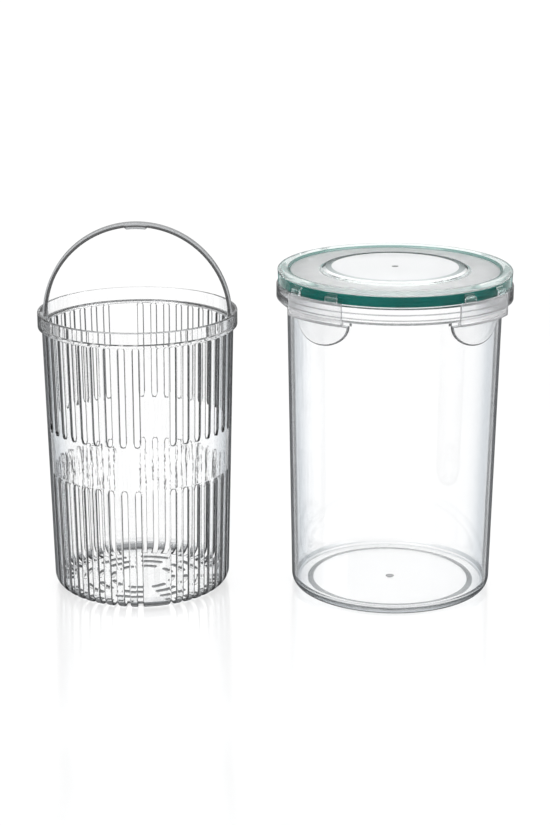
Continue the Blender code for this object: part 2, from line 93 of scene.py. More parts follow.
class Slot(Enum):
    """The record's material slots, one named for each piece."""

    CLEAR = "clear_plastic"
    LID = "lid_plastic"
    SEAL = "teal_silicone"
    CLIP = "milky_plastic"
    BAIL = "grey_plastic"


class Join(Enum):
    """How one solid is worked into another."""

    ADD = "UNION"
    CUT = "DIFFERENCE"


@dataclass(frozen=True)
class Site:
    """An upright axis that pieces are made about."""

    x: float = 0.0
    y: float = 0.0

    @classmethod
    def of_node(cls, node: str) -> "Site":
        """Return the axis through the middle of a round node of the frame."""
        low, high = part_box(node)
        return cls((low.x + high.x) / 2, (low.y + high.y) / 2)


@dataclass(frozen=True)
class Spot:
    """The middle of a face, seen from its piece's axis, which here is measured from.

    reach is its distance from the axis and level its height. up and out are the parts of its
    normal along Z and straight away from the axis.
    """

    here: Vector
    normal: Vector
    reach: float
    level: float
    up: float
    out: float

    @classmethod
    def of_face(cls, face: bpy.types.MeshPolygon, site: Site) -> "Spot":
        """Measure a face.

        Args:
            face: The face, of a finished piece.
            site: The piece's axis.

        Returns:
            Its spot.
        """
        centre, normal = face.center, face.normal
        here = Vector((centre.x - site.x, centre.y - site.y))
        out = here.normalized().dot(normal.xy)
        return cls(here, normal, here.length, centre.z, normal.z, out)


def top_and_radius(node: str) -> Point:
    """Return the level of a round node's top, and its radius."""
    low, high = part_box(node)
    return high.z, (high.x - low.x) / 2


# Shapes


@dataclass
class Outline:
    """A (radius, height) outline for turning, made of filleted corners and bows."""

    steps: int = 4
    runs: list[tuple[list[Vector], float]] = field(default_factory=list)

    def corners(self, *places: tuple[float, ...]) -> "Outline":
        """Add corners.

        Args:
            places: The radius and height of each, and the fillet that rounds it, if any, in
                millimetres.

        Returns:
            The outline itself.
        """
        for radius, height, *fillet in places:
            self.runs.append(([Vector((radius, height))], fillet[0] * MM if fillet else 0.0))
        return self

    def ripple(self, radius: float, level: float, depth: float, fillet: float) -> None:
        """Add a narrow groove in an upright side, or a rib.

        Args:
            radius: The side's radius.
            level: The height of its middle.
            depth: How deep the groove is; below zero for a rib.
            fillet: The fillet of its corners, in millimetres.
        """
        half = 0.35 * MM
        self.corners((radius, level - half, fillet), (radius - depth, level, fillet),
                     (radius, level + half, fillet))

    def bow(self, centre: Point, half: Point, start: float, end: float, steps: int = 12) -> None:
        """Add an elliptic arc.

        Args:
            centre: Its centre, as radius and height.
            half: Its half width and half height.
            start: Its first angle, in degrees.
            end: Its last angle, in degrees.
            steps: The number of its chords.
        """
        turn = (radians(start + (end - start) * i / steps) for i in range(steps + 1))
        arc = [Vector((centre[0] + half[0] * cos(t), centre[1] + half[1] * sin(t))) for t in turn]
        self.runs.append((arc, 0.0))

    def points(self, closed: bool = False) -> list[Point]:
        """Return the finished points.

        Args:
            closed: Whether the last run joins the first.

        Returns:
            Points as radius and height, with close pairs beside each fillet, so that a
            long straight stretch keeps its own shading.
        """
        count = len(self.runs)
        rounded = []
        for i, (run, fillet) in enumerate(self.runs):
            if fillet > 0.0 and (closed or 0 < i < count - 1):
                after = self.runs[(i + 1) % count][0][0]
                run = self._fillet(run[0], self.runs[i - 1][0][-1], after, fillet)
            rounded.append(run)
        points = []
        for i, run in enumerate(rounded):
            points += run
            if i == count - 1 and not closed:
                break
            gap = rounded[(i + 1) % count][0] - run[-1]
            if gap.length > 4 * HOLD:
                step = gap.normalized() * HOLD
                points += [run[-1] + step, run[-1] + gap - step]
        return [(point.x, point.y) for point in points]

    def _fillet(self, here: Vector, before: Vector, after: Vector, fillet: float) -> list[Vector]:
        """Return the arc that rounds one corner.

        Args:
            here: The corner.
            before: The point before it.
            after: The point after it.
            fillet: The wished radius, which short sides make smaller.

        Returns:
            The arc's points, in order.
        """
        most = 0.45  # of a side, so that two fillets leave some of it
        back, on = before - here, after - here
        half = back.angle(on) / 2
        reach = min(fillet / tan(half), most * back.length, most * on.length)
        middle = (back.normalized() + on.normalized()).normalized()
        centre = here + middle * (reach / cos(half))
        start = here + back.normalized() * reach - centre
        sweep = pi - 2 * half
        if start.x * (here - centre).y - start.y * (here - centre).x < 0:
            sweep = -sweep
        turn = (sweep * k / self.steps for k in range(self.steps + 1))
        return [centre + Vector((start.x * cos(t) - start.y * sin(t),
                                 start.x * sin(t) + start.y * cos(t))) for t in turn]


def turned(points: list[Point], closed: bool = False, steps: int = STEPS) -> Mesh:
    """Spin an outline all the way round Z.

    Args:
        points: The outline, as radius and height.
        closed: True for a ring, False for an outline that starts on the axis.
        steps: The number of steps in the turn.

    Returns:
        The turned shape, with its faces outwards.
    """
    shape = bmesh.new()
    verts = [shape.verts.new((radius, 0.0, height)) for radius, height in points]
    ends = verts[1:] + verts[:1] if closed else verts[1:]
    edges = [shape.edges.new(pair) for pair in zip(verts, ends)]
    bmesh.ops.spin(shape, geom=verts + edges, cent=(0, 0, 0), axis=(0, 0, 1),
                   angle=2 * pi, steps=steps, use_merge=True)
    bmesh.ops.remove_doubles(shape, verts=shape.verts, dist=MERGE)
    bmesh.ops.recalc_face_normals(shape, faces=shape.faces)
    return shape


def extrude(shape: Mesh, faces: list[bmesh.types.BMFace], way: Place, keep: bool = True) -> None:
    """Extrude faces, and turn all faces of the shape outwards.

    Args:
        shape: The shape to change.
        faces: The faces that are extruded.
        way: How far they go.
        keep: Whether the old faces stay behind, to close the shape.
    """
    grown = bmesh.ops.extrude_face_region(shape, geom=faces)
    if not keep:
        bmesh.ops.delete(shape, geom=faces, context="FACES")
    moved = [item for item in grown["geom"] if isinstance(item, bmesh.types.BMVert)]
    bmesh.ops.translate(shape, verts=moved, vec=way)
    bmesh.ops.recalc_face_normals(shape, faces=shape.faces)


def run_out(section: Iterable[Point], length: float) -> Mesh:
    """Run a (depth, height) section out sideways.

    Args:
        section: Its points; depth is along X and height along Z.
        length: The length along Y, half of it on each side.

    Returns:
        A closed prism with its faces outwards.
    """
    shape = bmesh.new()
    face = shape.faces.new([shape.verts.new((x, -length / 2, z)) for x, z in section])
    extrude(shape, [face], (0, length, 0))
    return shape


def round_edges(shape: Mesh, wanted: Callable[[bmesh.types.BMEdge], bool], width: float,
                segments: int) -> None:
    """Round the edges for which wanted(edge) is true.

    Args:
        shape: The shape to change.
        wanted: Says which edges are rounded.
        width: How far the rounding reaches from each edge.
        segments: The number of faces across it.
    """
    edges = [edge for edge in shape.edges if wanted(edge)]
    bmesh.ops.bevel(shape, geom=edges, offset=width, offset_type="OFFSET", segments=segments,
                    profile=0.5, affect="EDGES", clamp_overlap=True, material=-1)


def is_sharp(edge: bmesh.types.BMEdge) -> bool:
    """Return whether an edge turns by more than 30 degrees."""
    return len(edge.link_faces) == 2 and edge.calc_face_angle() > radians(30.0)


def cut_across(shape: Mesh, places: Iterable[float]) -> None:
    """Cut a flat shape across its length, without parting it.

    Args:
        shape: The shape to change.
        places: Where along Y it is cut.
    """
    for place in places:
        everything = [*shape.verts, *shape.edges, *shape.faces]
        bmesh.ops.bisect_plane(shape, geom=everything, dist=MERGE, plane_no=(0, 1, 0),
                               plane_co=(0, place, 0))


def wrap(shape: Mesh, radius: float, azimuth: float, pitch: float = BEND, slope: float = 0.0,
         level: float = 0.0) -> None:
    """Bend a flat shape round Z, where its X is depth and its Y runs along the turn.

    Args:
        shape: The flat shape, with X measured from the given radius.
        radius: The radius that X = 0 comes to.
        azimuth: The azimuth that Y = 0 comes to, in degrees.
        pitch: The spacing of the upright cuts that let it bend.
        slope: How much the radius grows for each metre of height.
        level: The height at which the radius is as given.
    """
    low = min(vert.co.y for vert in shape.verts)
    high = max(vert.co.y for vert in shape.verts)
    cuts = max(2, round((high - low) / pitch))
    cut_across(shape, (low + (high - low) * i / cuts for i in range(1, cuts)))
    for vert in shape.verts:
        turn = radians(azimuth) + vert.co.y / radius
        reach = radius + vert.co.x + slope * (vert.co.z - level)
        vert.co = Vector((reach * cos(turn), reach * sin(turn), vert.co.z))


def to_object(name: str, shape: Mesh, site: Site = Site()) -> Item:
    """Turn a shape into an object at the origin, with its place in its mesh.

    Args:
        name: The object's name.
        shape: The shape, which is freed.
        site: The axis that it was made about.

    Returns:
        The new object, shaded smooth between its sharp edges.
    """
    bmesh.ops.translate(shape, verts=shape.verts, vec=(site.x, site.y, 0.0))
    mesh = bpy.data.meshes.new(name)
    shape.to_mesh(mesh)
    shape.free()
    item = bpy.data.objects.new(name, mesh)
    bpy.context.scene.collection.objects.link(item)
    smooth(item)
    return item


def smooth(item: Item) -> None:
    """Shade an object smooth, but for edges that turn by more than the sharp angle."""
    item.data.shade_smooth()
    item.data.set_sharp_from_angle(angle=radians(SHARP_ANGLE))


def settle(item: Item) -> None:
    """Apply an object's modifiers to its mesh.

    Args:
        item: The object to change.
    """
    bpy.context.view_layer.update()
    seen = item.evaluated_get(bpy.context.evaluated_depsgraph_get())
    mesh = bpy.data.meshes.new_from_object(seen)
    old = item.data
    item.modifiers.clear()
    item.data = mesh
    mesh.name = item.name
    bpy.data.meshes.remove(old)


def work_in(item: Item, tools: list[Item], how: Join) -> None:
    """Join solids into an object, or cut them out of it, and remove them.

    Args:
        item: The object to change.
        tools: The solids, each closed.
        how: Whether they are added or cut.
    """
    for tool in tools:
        modifier = item.modifiers.new(tool.name, "BOOLEAN")
        modifier.operation = how.value
        modifier.solver = "EXACT"
        modifier.object = tool
    settle(item)
    for tool in tools:
        bpy.data.objects.remove(tool, do_unlink=True)
    smooth(item)


def dress(item: Item, site: Site, base: "Finish",
          *zones: tuple["Finish", Callable[[Spot], bool]]) -> None:
    """Give an object its finish, and zones of it finishes of their own.

    Args:
        item: The object.
        site: The axis that it was made about.
        base: The finish of the faces that are in no zone.
        zones: Each finish, and the test for its faces. Where two hold, the later one wins.
    """
    for finish in (base, *(finish for finish, _ in zones)):
        item.data.materials.append(finish.build())
    for face in item.data.polygons:
        spot = Spot.of_face(face, site)
        inside = [index for index, (_, wanted) in enumerate(zones, 1) if wanted(spot)]
        face.material_index = inside[-1] if inside else 0


def seat(item: Item, body: str, slot: Slot, *nodes: str) -> None:
    """Let a finished piece ride on its body and stand for its nodes.

    Args:
        item: The piece.
        body: The body that it moves with.
        slot: Not used.
        nodes: The frame's nodes that it replaces.
    """
    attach(item, body)
    if nodes:
        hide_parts(*nodes)
    triangles = sum(len(face.vertices) - 2 for face in item.data.polygons)
    LOG.info("%s: rides on %s, %d triangles", item.name, body, triangles)


# Shader nodes


def rgba(tone: Tone) -> tuple[float, ...]:
    """Return a grey or a colour as Blender takes it."""
    return (*(tone if isinstance(tone, tuple) else (tone,) * 3), 1.0)


class Wiring:
    """Short ways to add and join the nodes of one tree."""

    def __init__(self, tree: bpy.types.NodeTree) -> None:
        """Work on a tree."""
        self.tree = tree

    @classmethod
    def of(cls, holder: bpy.types.Material | bpy.types.World) -> "Wiring":
        """Empty the tree of a material or world, to work on it.

        Args:
            holder: The material or world.

        Returns:
            The wiring of its tree.
        """
        holder.use_nodes = True
        holder.node_tree.nodes.clear()
        return cls(holder.node_tree)

    def add(self, kind: str, inputs: Optional[dict] = None, **settings) -> Node:
        """Add a node.

        Args:
            kind: The node's type, without its ShaderNode prefix.
            inputs: For each input's name or index, a value, or an output to join to it.
            settings: The node's own settings.

        Returns:
            The new node.
        """
        node = self.tree.nodes.new("ShaderNode" + kind)
        for name, value in settings.items():
            setattr(node, name, value)
        for name, value in (inputs or {}).items():
            if isinstance(value, Socket):
                self.tree.links.new(value, node.inputs[name])
            else:
                node.inputs[name].default_value = value
        return node

    def object_place(self) -> Socket:
        """Return the place on the object."""
        return self.add("TexCoord").outputs["Object"]

    def scaled(self, vector: Socket, scale: Place, turn: Place = (0.0, 0.0, 0.0)) -> Socket:
        """Turn and stretch a place, so that its pattern is denser along some ways."""
        inputs = {"Vector": vector, "Rotation": turn, "Scale": scale}
        return self.add("Mapping", inputs).outputs["Vector"]

    def math(self, operation: str, *values: float | Socket, **settings) -> Socket:
        """Return the result of a sum over values and outputs."""
        return self.add("Math", dict(enumerate(values)), operation=operation, **settings).outputs[0]

    def noise(self, vector: Socket, scale: Socket, detail: float, roughness: float) -> Socket:
        """Return a noise texture's value."""
        return self.add("TexNoise", {"Vector": vector, "Scale": scale, "Detail": detail,
                                     "Roughness": roughness}).outputs["Fac"]

    def spread(self, value: Socket, source: Point = (0.0, 1.0), target: Point = (0.0, 1.0),
               **settings) -> Socket:
        """Return a value carried from a source range to a target range."""
        ends = dict(zip(("From Min", "From Max", "To Min", "To Max"), (*source, *target)))
        return self.add("MapRange", {"Value": value, **ends}, **settings).outputs["Result"]

    def bump(self, height: Socket, depth: float, **below: Socket) -> Socket:
        """Return the normal of a bump of a depth in metres, over another Normal if given."""
        return self.add("Bump", {"Height": height, "Strength": 1.0, "Distance": depth,
                                 **below}).outputs["Normal"]

    def ramp(self, factor: Socket, stops: Stops) -> Socket:
        """Add a colour ramp.

        Args:
            factor: The output that drives it.
            stops: Each stop's position and tone, in order.

        Returns:
            The ramp's colour output.
        """
        node = self.add("ValToRGB", {"Fac": factor})
        elements = node.color_ramp.elements
        while len(elements) < len(stops):
            elements.new(0.5)
        for element, (position, tone) in zip(elements, stops):
            element.position = position
            element.color = rgba(tone)
        return node.outputs["Color"]

    def shader(self, kind: str, colour: Tone | Socket, **inputs: float) -> Socket:
        """Return a plain shader of a colour, with other inputs by name."""
        colour = colour if isinstance(colour, Socket) else rgba(colour)
        return self.add(kind, {"Color": colour, **inputs}).outputs[0]

    def mix(self, share: float | Socket, one: Socket, other: Socket) -> Socket:
        """Return a mix of two shaders, where a share of 1 gives the other."""
        return self.add("MixShader", {"Fac": share, 1: one, 2: other}).outputs[0]

    def by_ray(self, base: Socket, glossy: Socket, through: Socket, camera: Socket) -> Socket:
        """Show some rays another shader.

        Args:
            base: The shader that lights the set.
            glossy: What reflections show.
            through: What is seen through plastic.
            camera: What the camera sees.

        Returns:
            The shader that holds all four.
        """
        path = self.add("LightPath").outputs
        lit = self.mix(path["Is Glossy Ray"], base, glossy)
        lit = self.mix(path["Is Transmission Ray"], lit, through)
        return self.mix(path["Is Camera Ray"], lit, camera)


@dataclass(frozen=True)
class Effect:
    """A shader node group, built once and used by many finishes.

    It takes a Vector and named numbers, each with its default, and puts out named numbers.
    """

    name: str
    inputs: tuple[tuple[str, float], ...]
    outputs: tuple[str, ...]
    fill: Callable[..., tuple[Socket, ...]]

    @cache
    def tree(self) -> bpy.types.NodeTree:
        """Make the group's tree, the first time that it is asked for.

        Returns:
            The tree.
        """
        tree = bpy.data.node_groups.new(self.name, "ShaderNodeTree")
        tree.interface.new_socket("Vector", in_out="INPUT", socket_type="NodeSocketVector")
        for name, default in self.inputs:
            socket = tree.interface.new_socket(name, in_out="INPUT", socket_type="NodeSocketFloat")
            socket.default_value = default
        for name in self.outputs:
            tree.interface.new_socket(name, in_out="OUTPUT", socket_type="NodeSocketFloat")
        start, end = tree.nodes.new("NodeGroupInput"), tree.nodes.new("NodeGroupOutput")
        given = [start.outputs[name] for name in ("Vector", *dict(self.inputs))]
        for name, result in zip(self.outputs, self.fill(Wiring(tree), *given)):
            tree.links.new(result, end.inputs[name])
        return tree

    def place(self, wiring: Wiring, *values: float | Socket) -> list[Socket]:
        """Place the group in a material with the material's own values, and return its outputs."""
        return wiring.add("Group", dict(enumerate(values)), node_tree=self.tree()).outputs[:]


def fill_swell(wiring: Wiring, vector: Socket, scale: Socket, share: Socket) -> tuple[Socket]:
    """Wire the soft swells and fine ripple of a moulded wall.

    Args:
        wiring: The group's tree.
        vector: The place on the object.
        scale: The swells' scale.
        share: How deep the ripple is, where the swells have 1.

    Returns:
        The height.
    """
    swell = wiring.noise(vector, scale, detail=1.0, roughness=0.4)
    finer = wiring.math("MULTIPLY", scale, 6.0)
    ripple = wiring.noise(vector, finer, detail=2.0, roughness=0.5)
    return wiring.math("MULTIPLY_ADD", ripple, share, swell),


def fill_grain(wiring: Wiring, vector: Socket, scale: Socket) -> tuple[Socket, Socket]:
    """Wire the grain that an etched mould leaves.

    Args:
        wiring: The group's tree.
        vector: The place on the object.
        scale: The grain's scale.

    Returns:
        The height and the tone.
    """
    grain = wiring.noise(vector, scale, detail=3.0, roughness=0.6)
    wider = wiring.math("MULTIPLY", scale, 0.05)
    cloud = wiring.noise(vector, wider, detail=2.0, roughness=0.5)
    return grain, wiring.spread(wiring.math("MULTIPLY", cloud, grain), (0.12, 0.42))


def fill_marks(wiring: Wiring, vector: Socket, scale: Socket) -> tuple[Socket]:
    """Wire the faint hairlines and smears of handling.

    Args:
        wiring: The group's tree.
        vector: The place on the object.
        scale: The marks' scale.

    Returns:
        The mask.
    """
    long_way = wiring.scaled(vector, (1.0, 14.0, 2.0), turn=(0.5, 0.9, 0.4))
    hairs = wiring.noise(long_way, scale, detail=5.0, roughness=0.7)
    smears = wiring.noise(vector, scale, detail=3.0, roughness=0.5)
    lines, patches = wiring.spread(hairs, (0.62, 0.74)), wiring.spread(smears, (0.45, 0.75))
    return wiring.math("MULTIPLY_ADD", lines, 0.5, patches, use_clamp=True),


SWELL = Effect("Moulded swell", (("Swell Scale", 60.0), ("Ripple Share", 0.1)), ("Height",),
               fill_swell)
GRAIN = Effect("Etched grain", (("Grain Scale", 3000.0),), ("Height", "Tone"), fill_grain)
MARKS = Effect("Handling marks", (("Mark Scale", 30.0),), ("Mask",), fill_marks)


# Finishes


@dataclass(frozen=True)
class Finish:
    """A material by its name; each kind of finish wires its own."""

    name: str

    def wire(self, wiring: Wiring) -> None:
        """Add the material's nodes."""
        raise NotImplementedError

    @cache
    def build(self) -> bpy.types.Material:
        """Make the material, the first time that it is asked for.

        Returns:
            The material.
        """
        material = bpy.data.materials.new(self.name)
        self.wire(Wiring.of(material))
        return material


@dataclass(frozen=True)
class Plastic(Finish):
    """Moulded plastic, from water clear to milky, with shade painted darker as it is seen edge-on.
    """

    tones: Stops
    transmission: float = 1.0
    ior: float = 1.5
    roughness: Point = (0.0, 0.08)
    swell_scale: float = 60.0
    swell_stretch: float = 1.0
    swell_depth: float = 0.00002
    grain_scale: float = 0.0
    grain_depth: float = 0.0

    def wire(self, wiring: Wiring) -> None:
        """Add its swells, marks, grain and tones, and the pale shadow that it casts.

        Args:
            wiring: The material's tree.
        """
        ripple_share, mark_scale, grain_tones, shadow = 0.08, 35.0, (0.88, 1.0), 0.9
        place = wiring.object_place()
        stretched = wiring.scaled(place, (1.0, 1.0, 1 / self.swell_stretch))
        swell, = SWELL.place(wiring, stretched, self.swell_scale, ripple_share)
        normal = wiring.bump(swell, self.swell_depth)
        mask, = MARKS.place(wiring, place, mark_scale)
        # Painted shade: the base colour darkens as a face is seen more edge-on.
        facing = wiring.add("LayerWeight", {"Blend": 0.5}).outputs["Facing"]
        colour = wiring.ramp(facing, self.tones)
        if self.grain_depth > 0.0:
            grain, cloud = GRAIN.place(wiring, place, self.grain_scale)
            normal = wiring.bump(grain, self.grain_depth, Normal=normal)
            tone = wiring.spread(cloud, target=grain_tones)
            colour = wiring.add("VectorMath", {0: colour, 1: tone},
                                operation="MULTIPLY").outputs["Vector"]
        shader = wiring.add("BsdfPrincipled", {
            "Base Color": colour, "Roughness": wiring.spread(mask, target=self.roughness),
            "Normal": normal, "Metallic": 0.0, "IOR": self.ior,
            "Transmission Weight": self.transmission}).outputs["BSDF"]
        shadow_ray = wiring.add("LightPath").outputs["Is Shadow Ray"]
        mixed = wiring.mix(shadow_ray, shader, wiring.shader("BsdfTransparent", shadow))
        wiring.add("OutputMaterial", {"Surface": mixed})


@dataclass(frozen=True)
class Silicone(Finish):
    """Satin silicone rubber with a fine bloom."""

    colour: Tone
    bloom: Tone
    roughness: Point = (0.42, 0.62)

    def wire(self, wiring: Wiring) -> None:
        """Add its bloom, grain and satin surface.

        Args:
            wiring: The material's tree.
        """
        grain_scale, grain_depth, mark_scale = 2200.0, 0.000006, 60.0
        place = wiring.object_place()
        grain, cloud = GRAIN.place(wiring, place, grain_scale)
        mask, = MARKS.place(wiring, place, mark_scale)
        colour = wiring.ramp(mask, ((0.0, self.colour), (1.0, self.bloom)))
        shader = wiring.add("BsdfPrincipled", {
            "Base Color": colour, "Roughness": wiring.spread(cloud, target=self.roughness),
            "Normal": wiring.bump(grain, grain_depth), "Metallic": 0.0,
            "Specular IOR Level": 0.1})
        wiring.add("OutputMaterial", {"Surface": shader.outputs["BSDF"]})


@dataclass(frozen=True)
class FloorWhite(Finish):
    """A white floor with a soft gloss, darker near the set, where it glows less and is lamp-lit."""

    colour: Tone = 0.86
    near: Point = (0.25, 0.9)
    shaded_share: float = 0.35
    glow: float = 1.68
    gloss_share: float = 0.6
    gloss_roughness: float = 0.15
    reflected_colour: Tone = (0.93, 0.97, 1.0)
    reflected: float = 0.2

    def wire(self, wiring: Wiring) -> None:
        """Add what each kind of ray sees of it.

        Args:
            wiring: The material's tree.
        """
        away = wiring.add("VectorMath", {0: wiring.object_place()}, operation="LENGTH")
        near = wiring.spread(away.outputs["Value"], self.near, (self.shaded_share, 0.0),
                             interpolation_type="SMOOTHSTEP")
        lit = wiring.shader("BsdfDiffuse", self.colour)
        glow = wiring.shader("Emission", 1.0, Strength=self.glow)
        gloss = wiring.shader("BsdfGlossy", 1.0, Roughness=self.gloss_roughness)
        bright = wiring.mix(self.gloss_share, glow, gloss)
        through = wiring.shader("Emission", 1.0, Strength=BEHIND)
        sheen = wiring.shader("Emission", self.reflected_colour, Strength=self.reflected)
        surface = wiring.by_ray(lit, sheen, wiring.mix(near, through, lit),
                                wiring.mix(near, bright, lit))
        wiring.add("OutputMaterial", {"Surface": surface})


# Painted shade: these tones darken a face as it is seen more edge-on; PANE_TONES stay white longer.
WALL_TONES = ((0.0, 1.0), (0.38, (0.985, 0.99, 0.995)), (0.46, (0.92, 0.935, 0.95)),
              (0.523, (0.81, 0.835, 0.86)), (0.571, (0.73, 0.76, 0.79)),
              (0.606, (0.68, 0.715, 0.75)), (0.646, (0.68, 0.715, 0.75)),
              (0.70, (0.76, 0.785, 0.81)), (0.742, (0.72, 0.74, 0.76)),
              (0.765, (0.14, 0.15, 0.16)), (0.79, (0.015, 0.016, 0.018)), (1.0, 0.005))
PANE_TONES = ((0.0, 1.0), (0.76, (0.97, 0.98, 0.985)), (0.9, (0.6, 0.62, 0.64)), (1.0, 0.2))
LID_TONES = ((0.0, (0.98, 0.995, 0.99)), (0.455, (0.92, 0.975, 0.96)), (0.6, (0.86, 0.94, 0.92)),
             (0.72, (0.80, 0.91, 0.89)), (0.835, (0.68, 0.84, 0.81)), (0.87, (0.20, 0.40, 0.37)),
             (0.91, (0.0, 0.09, 0.08)), (1.0, (0.0, 0.03, 0.025)))

CLEAR = Plastic("clear_plastic", WALL_TONES, swell_scale=45.0, swell_stretch=2.0,
                swell_depth=0.00005)
WAVY = Plastic("strainer_belt", WALL_TONES, roughness=(0.0, 0.06), swell_scale=110.0,
               swell_stretch=5.0, swell_depth=0.00022)
STRAINER = Plastic("strainer_plastic", WALL_TONES, roughness=(0.0, 0.05), swell_scale=70.0,
                   swell_stretch=4.0, swell_depth=0.00004)
PANE = Plastic("clear_pane", PANE_TONES, swell_scale=45.0)
DISC = Plastic("clear_disc", PANE_TONES, transmission=0.55, roughness=(0.02, 0.1),
               swell_scale=45.0)
LID_CLEAR = Plastic("lid_plastic", LID_TONES, swell_scale=50.0, swell_depth=0.00003)
SKIRT = Plastic("lid_skirt", LID_TONES, ior=1.2, roughness=(0.0, 0.03), swell_depth=0.00001)
BEAD = Plastic("lid_bead", (
    (0.0, (0.80, 0.90, 0.88)), (0.5, (0.80, 0.89, 0.875)), (0.70, (0.92, 0.96, 0.955)),
    (0.81, (0.86, 0.92, 0.91)), (0.835, (0.50, 0.66, 0.63)), (0.86, (0.10, 0.26, 0.24)),
    (0.92, (0.0, 0.10, 0.09)), (1.0, (0.0, 0.04, 0.035))),
    transmission=0.72, ior=1.2, roughness=(0.02, 0.08), swell_depth=0.00001)
# Painted shade: a dark teal line along the bead's inner flank.
BEAD_FLANK_SHADE = Plastic("bead_flank_painted_shade", (
    (0.0, (0.12, 0.24, 0.22)), (0.5, (0.06, 0.17, 0.15)), (1.0, (0.0, 0.03, 0.025))),
    roughness=(0.02, 0.08), swell_depth=0.00001)
# Painted shade on the disc's edge: dark where seen edge-on, light where seen more squarely.
DISC_EDGE_SHADE = Plastic("disc_edge", (
    (0.0, 1.0), (0.70, (0.95, 0.96, 0.96)), (0.778, (0.62, 0.66, 0.66)),
    (0.787, (0.20, 0.24, 0.24)), (0.794, (0.05, 0.07, 0.07)), (1.0, (0.01, 0.02, 0.02))),
    transmission=0.5, ior=1.06, roughness=(0.0, 0.04), swell_depth=0.000004)
FROSTED = Plastic("frosted_ring", (
    (0.0, (0.94, 0.945, 0.95)), (0.80, (0.91, 0.92, 0.925)), (1.0, (0.6, 0.61, 0.62))),
    transmission=0.7, roughness=(0.35, 0.5), grain_scale=2600.0, grain_depth=0.00002)
# Painted shade: the foot's curve darkens where it meets the floor.
FOOT_SHADE = Plastic("foot_painted_shade", (
    (0.0, 1.0), (0.09, (0.96, 0.965, 0.97)), (0.18, (0.66, 0.69, 0.71)),
    (0.3, (0.46, 0.49, 0.51)), (0.5, (0.38, 0.41, 0.43)), (0.60, (0.08, 0.085, 0.09)),
    (1.0, (0.01, 0.012, 0.014))), swell_scale=45.0)
# Painted shade: the foot ring's inner flank in grey.
FOOT_RING_SHADE = Plastic("foot_ring", (
    (0.0, (0.30, 0.32, 0.33)), (0.6, (0.20, 0.215, 0.22)), (1.0, 0.05)),
    transmission=0.35, roughness=(0.2, 0.3), swell_depth=0.00001)
# Painted shade: dark grey lines at grooves, slot sides, the rim's top rounding and the basket's
# foot.
SHADE_LINE = Plastic("painted_shade_lines", (
    (0.0, (0.36, 0.37, 0.38)), (0.5, (0.24, 0.245, 0.25)), (1.0, 0.05)),
    roughness=(0.03, 0.1), swell_depth=0.00001)
# Painted shade: near black at slot edges, the shelf, gate marks, the pads' edges and the basket's
# foot.
CUT = Plastic("painted_shade_edges", (
    (0.0, (0.08, 0.083, 0.087)), (0.5, (0.03, 0.031, 0.032)), (1.0, 0.004)),
    roughness=(0.05, 0.12), swell_depth=0.00001)
RIM = Plastic("strainer_rim", (
    (0.0, 1.0), (0.5, (0.96, 0.965, 0.97)), (0.62, (0.80, 0.81, 0.82)),
    (0.68, (0.45, 0.46, 0.47)), (0.74, (0.08, 0.083, 0.086)), (0.8, 0.02), (1.0, 0.008)),
    swell_scale=70.0, swell_depth=0.00005)
# An etched finish on the pads, and painted grey shade on the basket's rim top and upper foot.
ETCHED_AND_SHADE = Plastic("etched_pads_and_painted_shade", (
    (0.0, (0.95, 0.955, 0.96)), (0.5, (0.84, 0.85, 0.86)), (0.75, (0.35, 0.36, 0.37)),
    (1.0, (0.08, 0.08, 0.085))),
    roughness=(0.08, 0.16), grain_scale=2600.0, grain_depth=0.000004)
THIN = Plastic("thin_webs", (
    (0.0, (0.90, 0.97, 0.96)), (0.5, (0.72, 0.86, 0.84)), (0.75, (0.30, 0.42, 0.40)),
    (1.0, (0.03, 0.10, 0.09))), roughness=(0.06, 0.12), swell_depth=0.00001)
MILKY = Plastic("milky_plastic", (
    (0.0, (0.97, 0.972, 0.98)), (0.5, (0.90, 0.905, 0.915)), (0.8, (0.55, 0.555, 0.57)),
    (1.0, (0.20, 0.205, 0.215))),
    transmission=0.88, roughness=(0.16, 0.26), grain_scale=1800.0, grain_depth=0.000006)
GREY = Plastic("grey_plastic", (
    (0.0, (0.50, 0.51, 0.52)), (0.6, (0.44, 0.45, 0.46)), (0.85, (0.24, 0.245, 0.25)),
    (1.0, 0.12)), transmission=0.12, roughness=(0.25, 0.35))
# Painted shade: the inside of the bail's band.
BAIL_SHADE = Plastic("bail_inside_painted_shade", (
    (0.0, (0.13, 0.13, 0.132)), (0.6, (0.09, 0.09, 0.092)), (1.0, 0.03)),
    transmission=0.3, roughness=(0.25, 0.4))
TEAL = Silicone("teal_silicone", (0.0, 0.082, 0.070), (0.0, 0.105, 0.09))
FLOOR = FloorWhite("studio_floor")


# Pieces


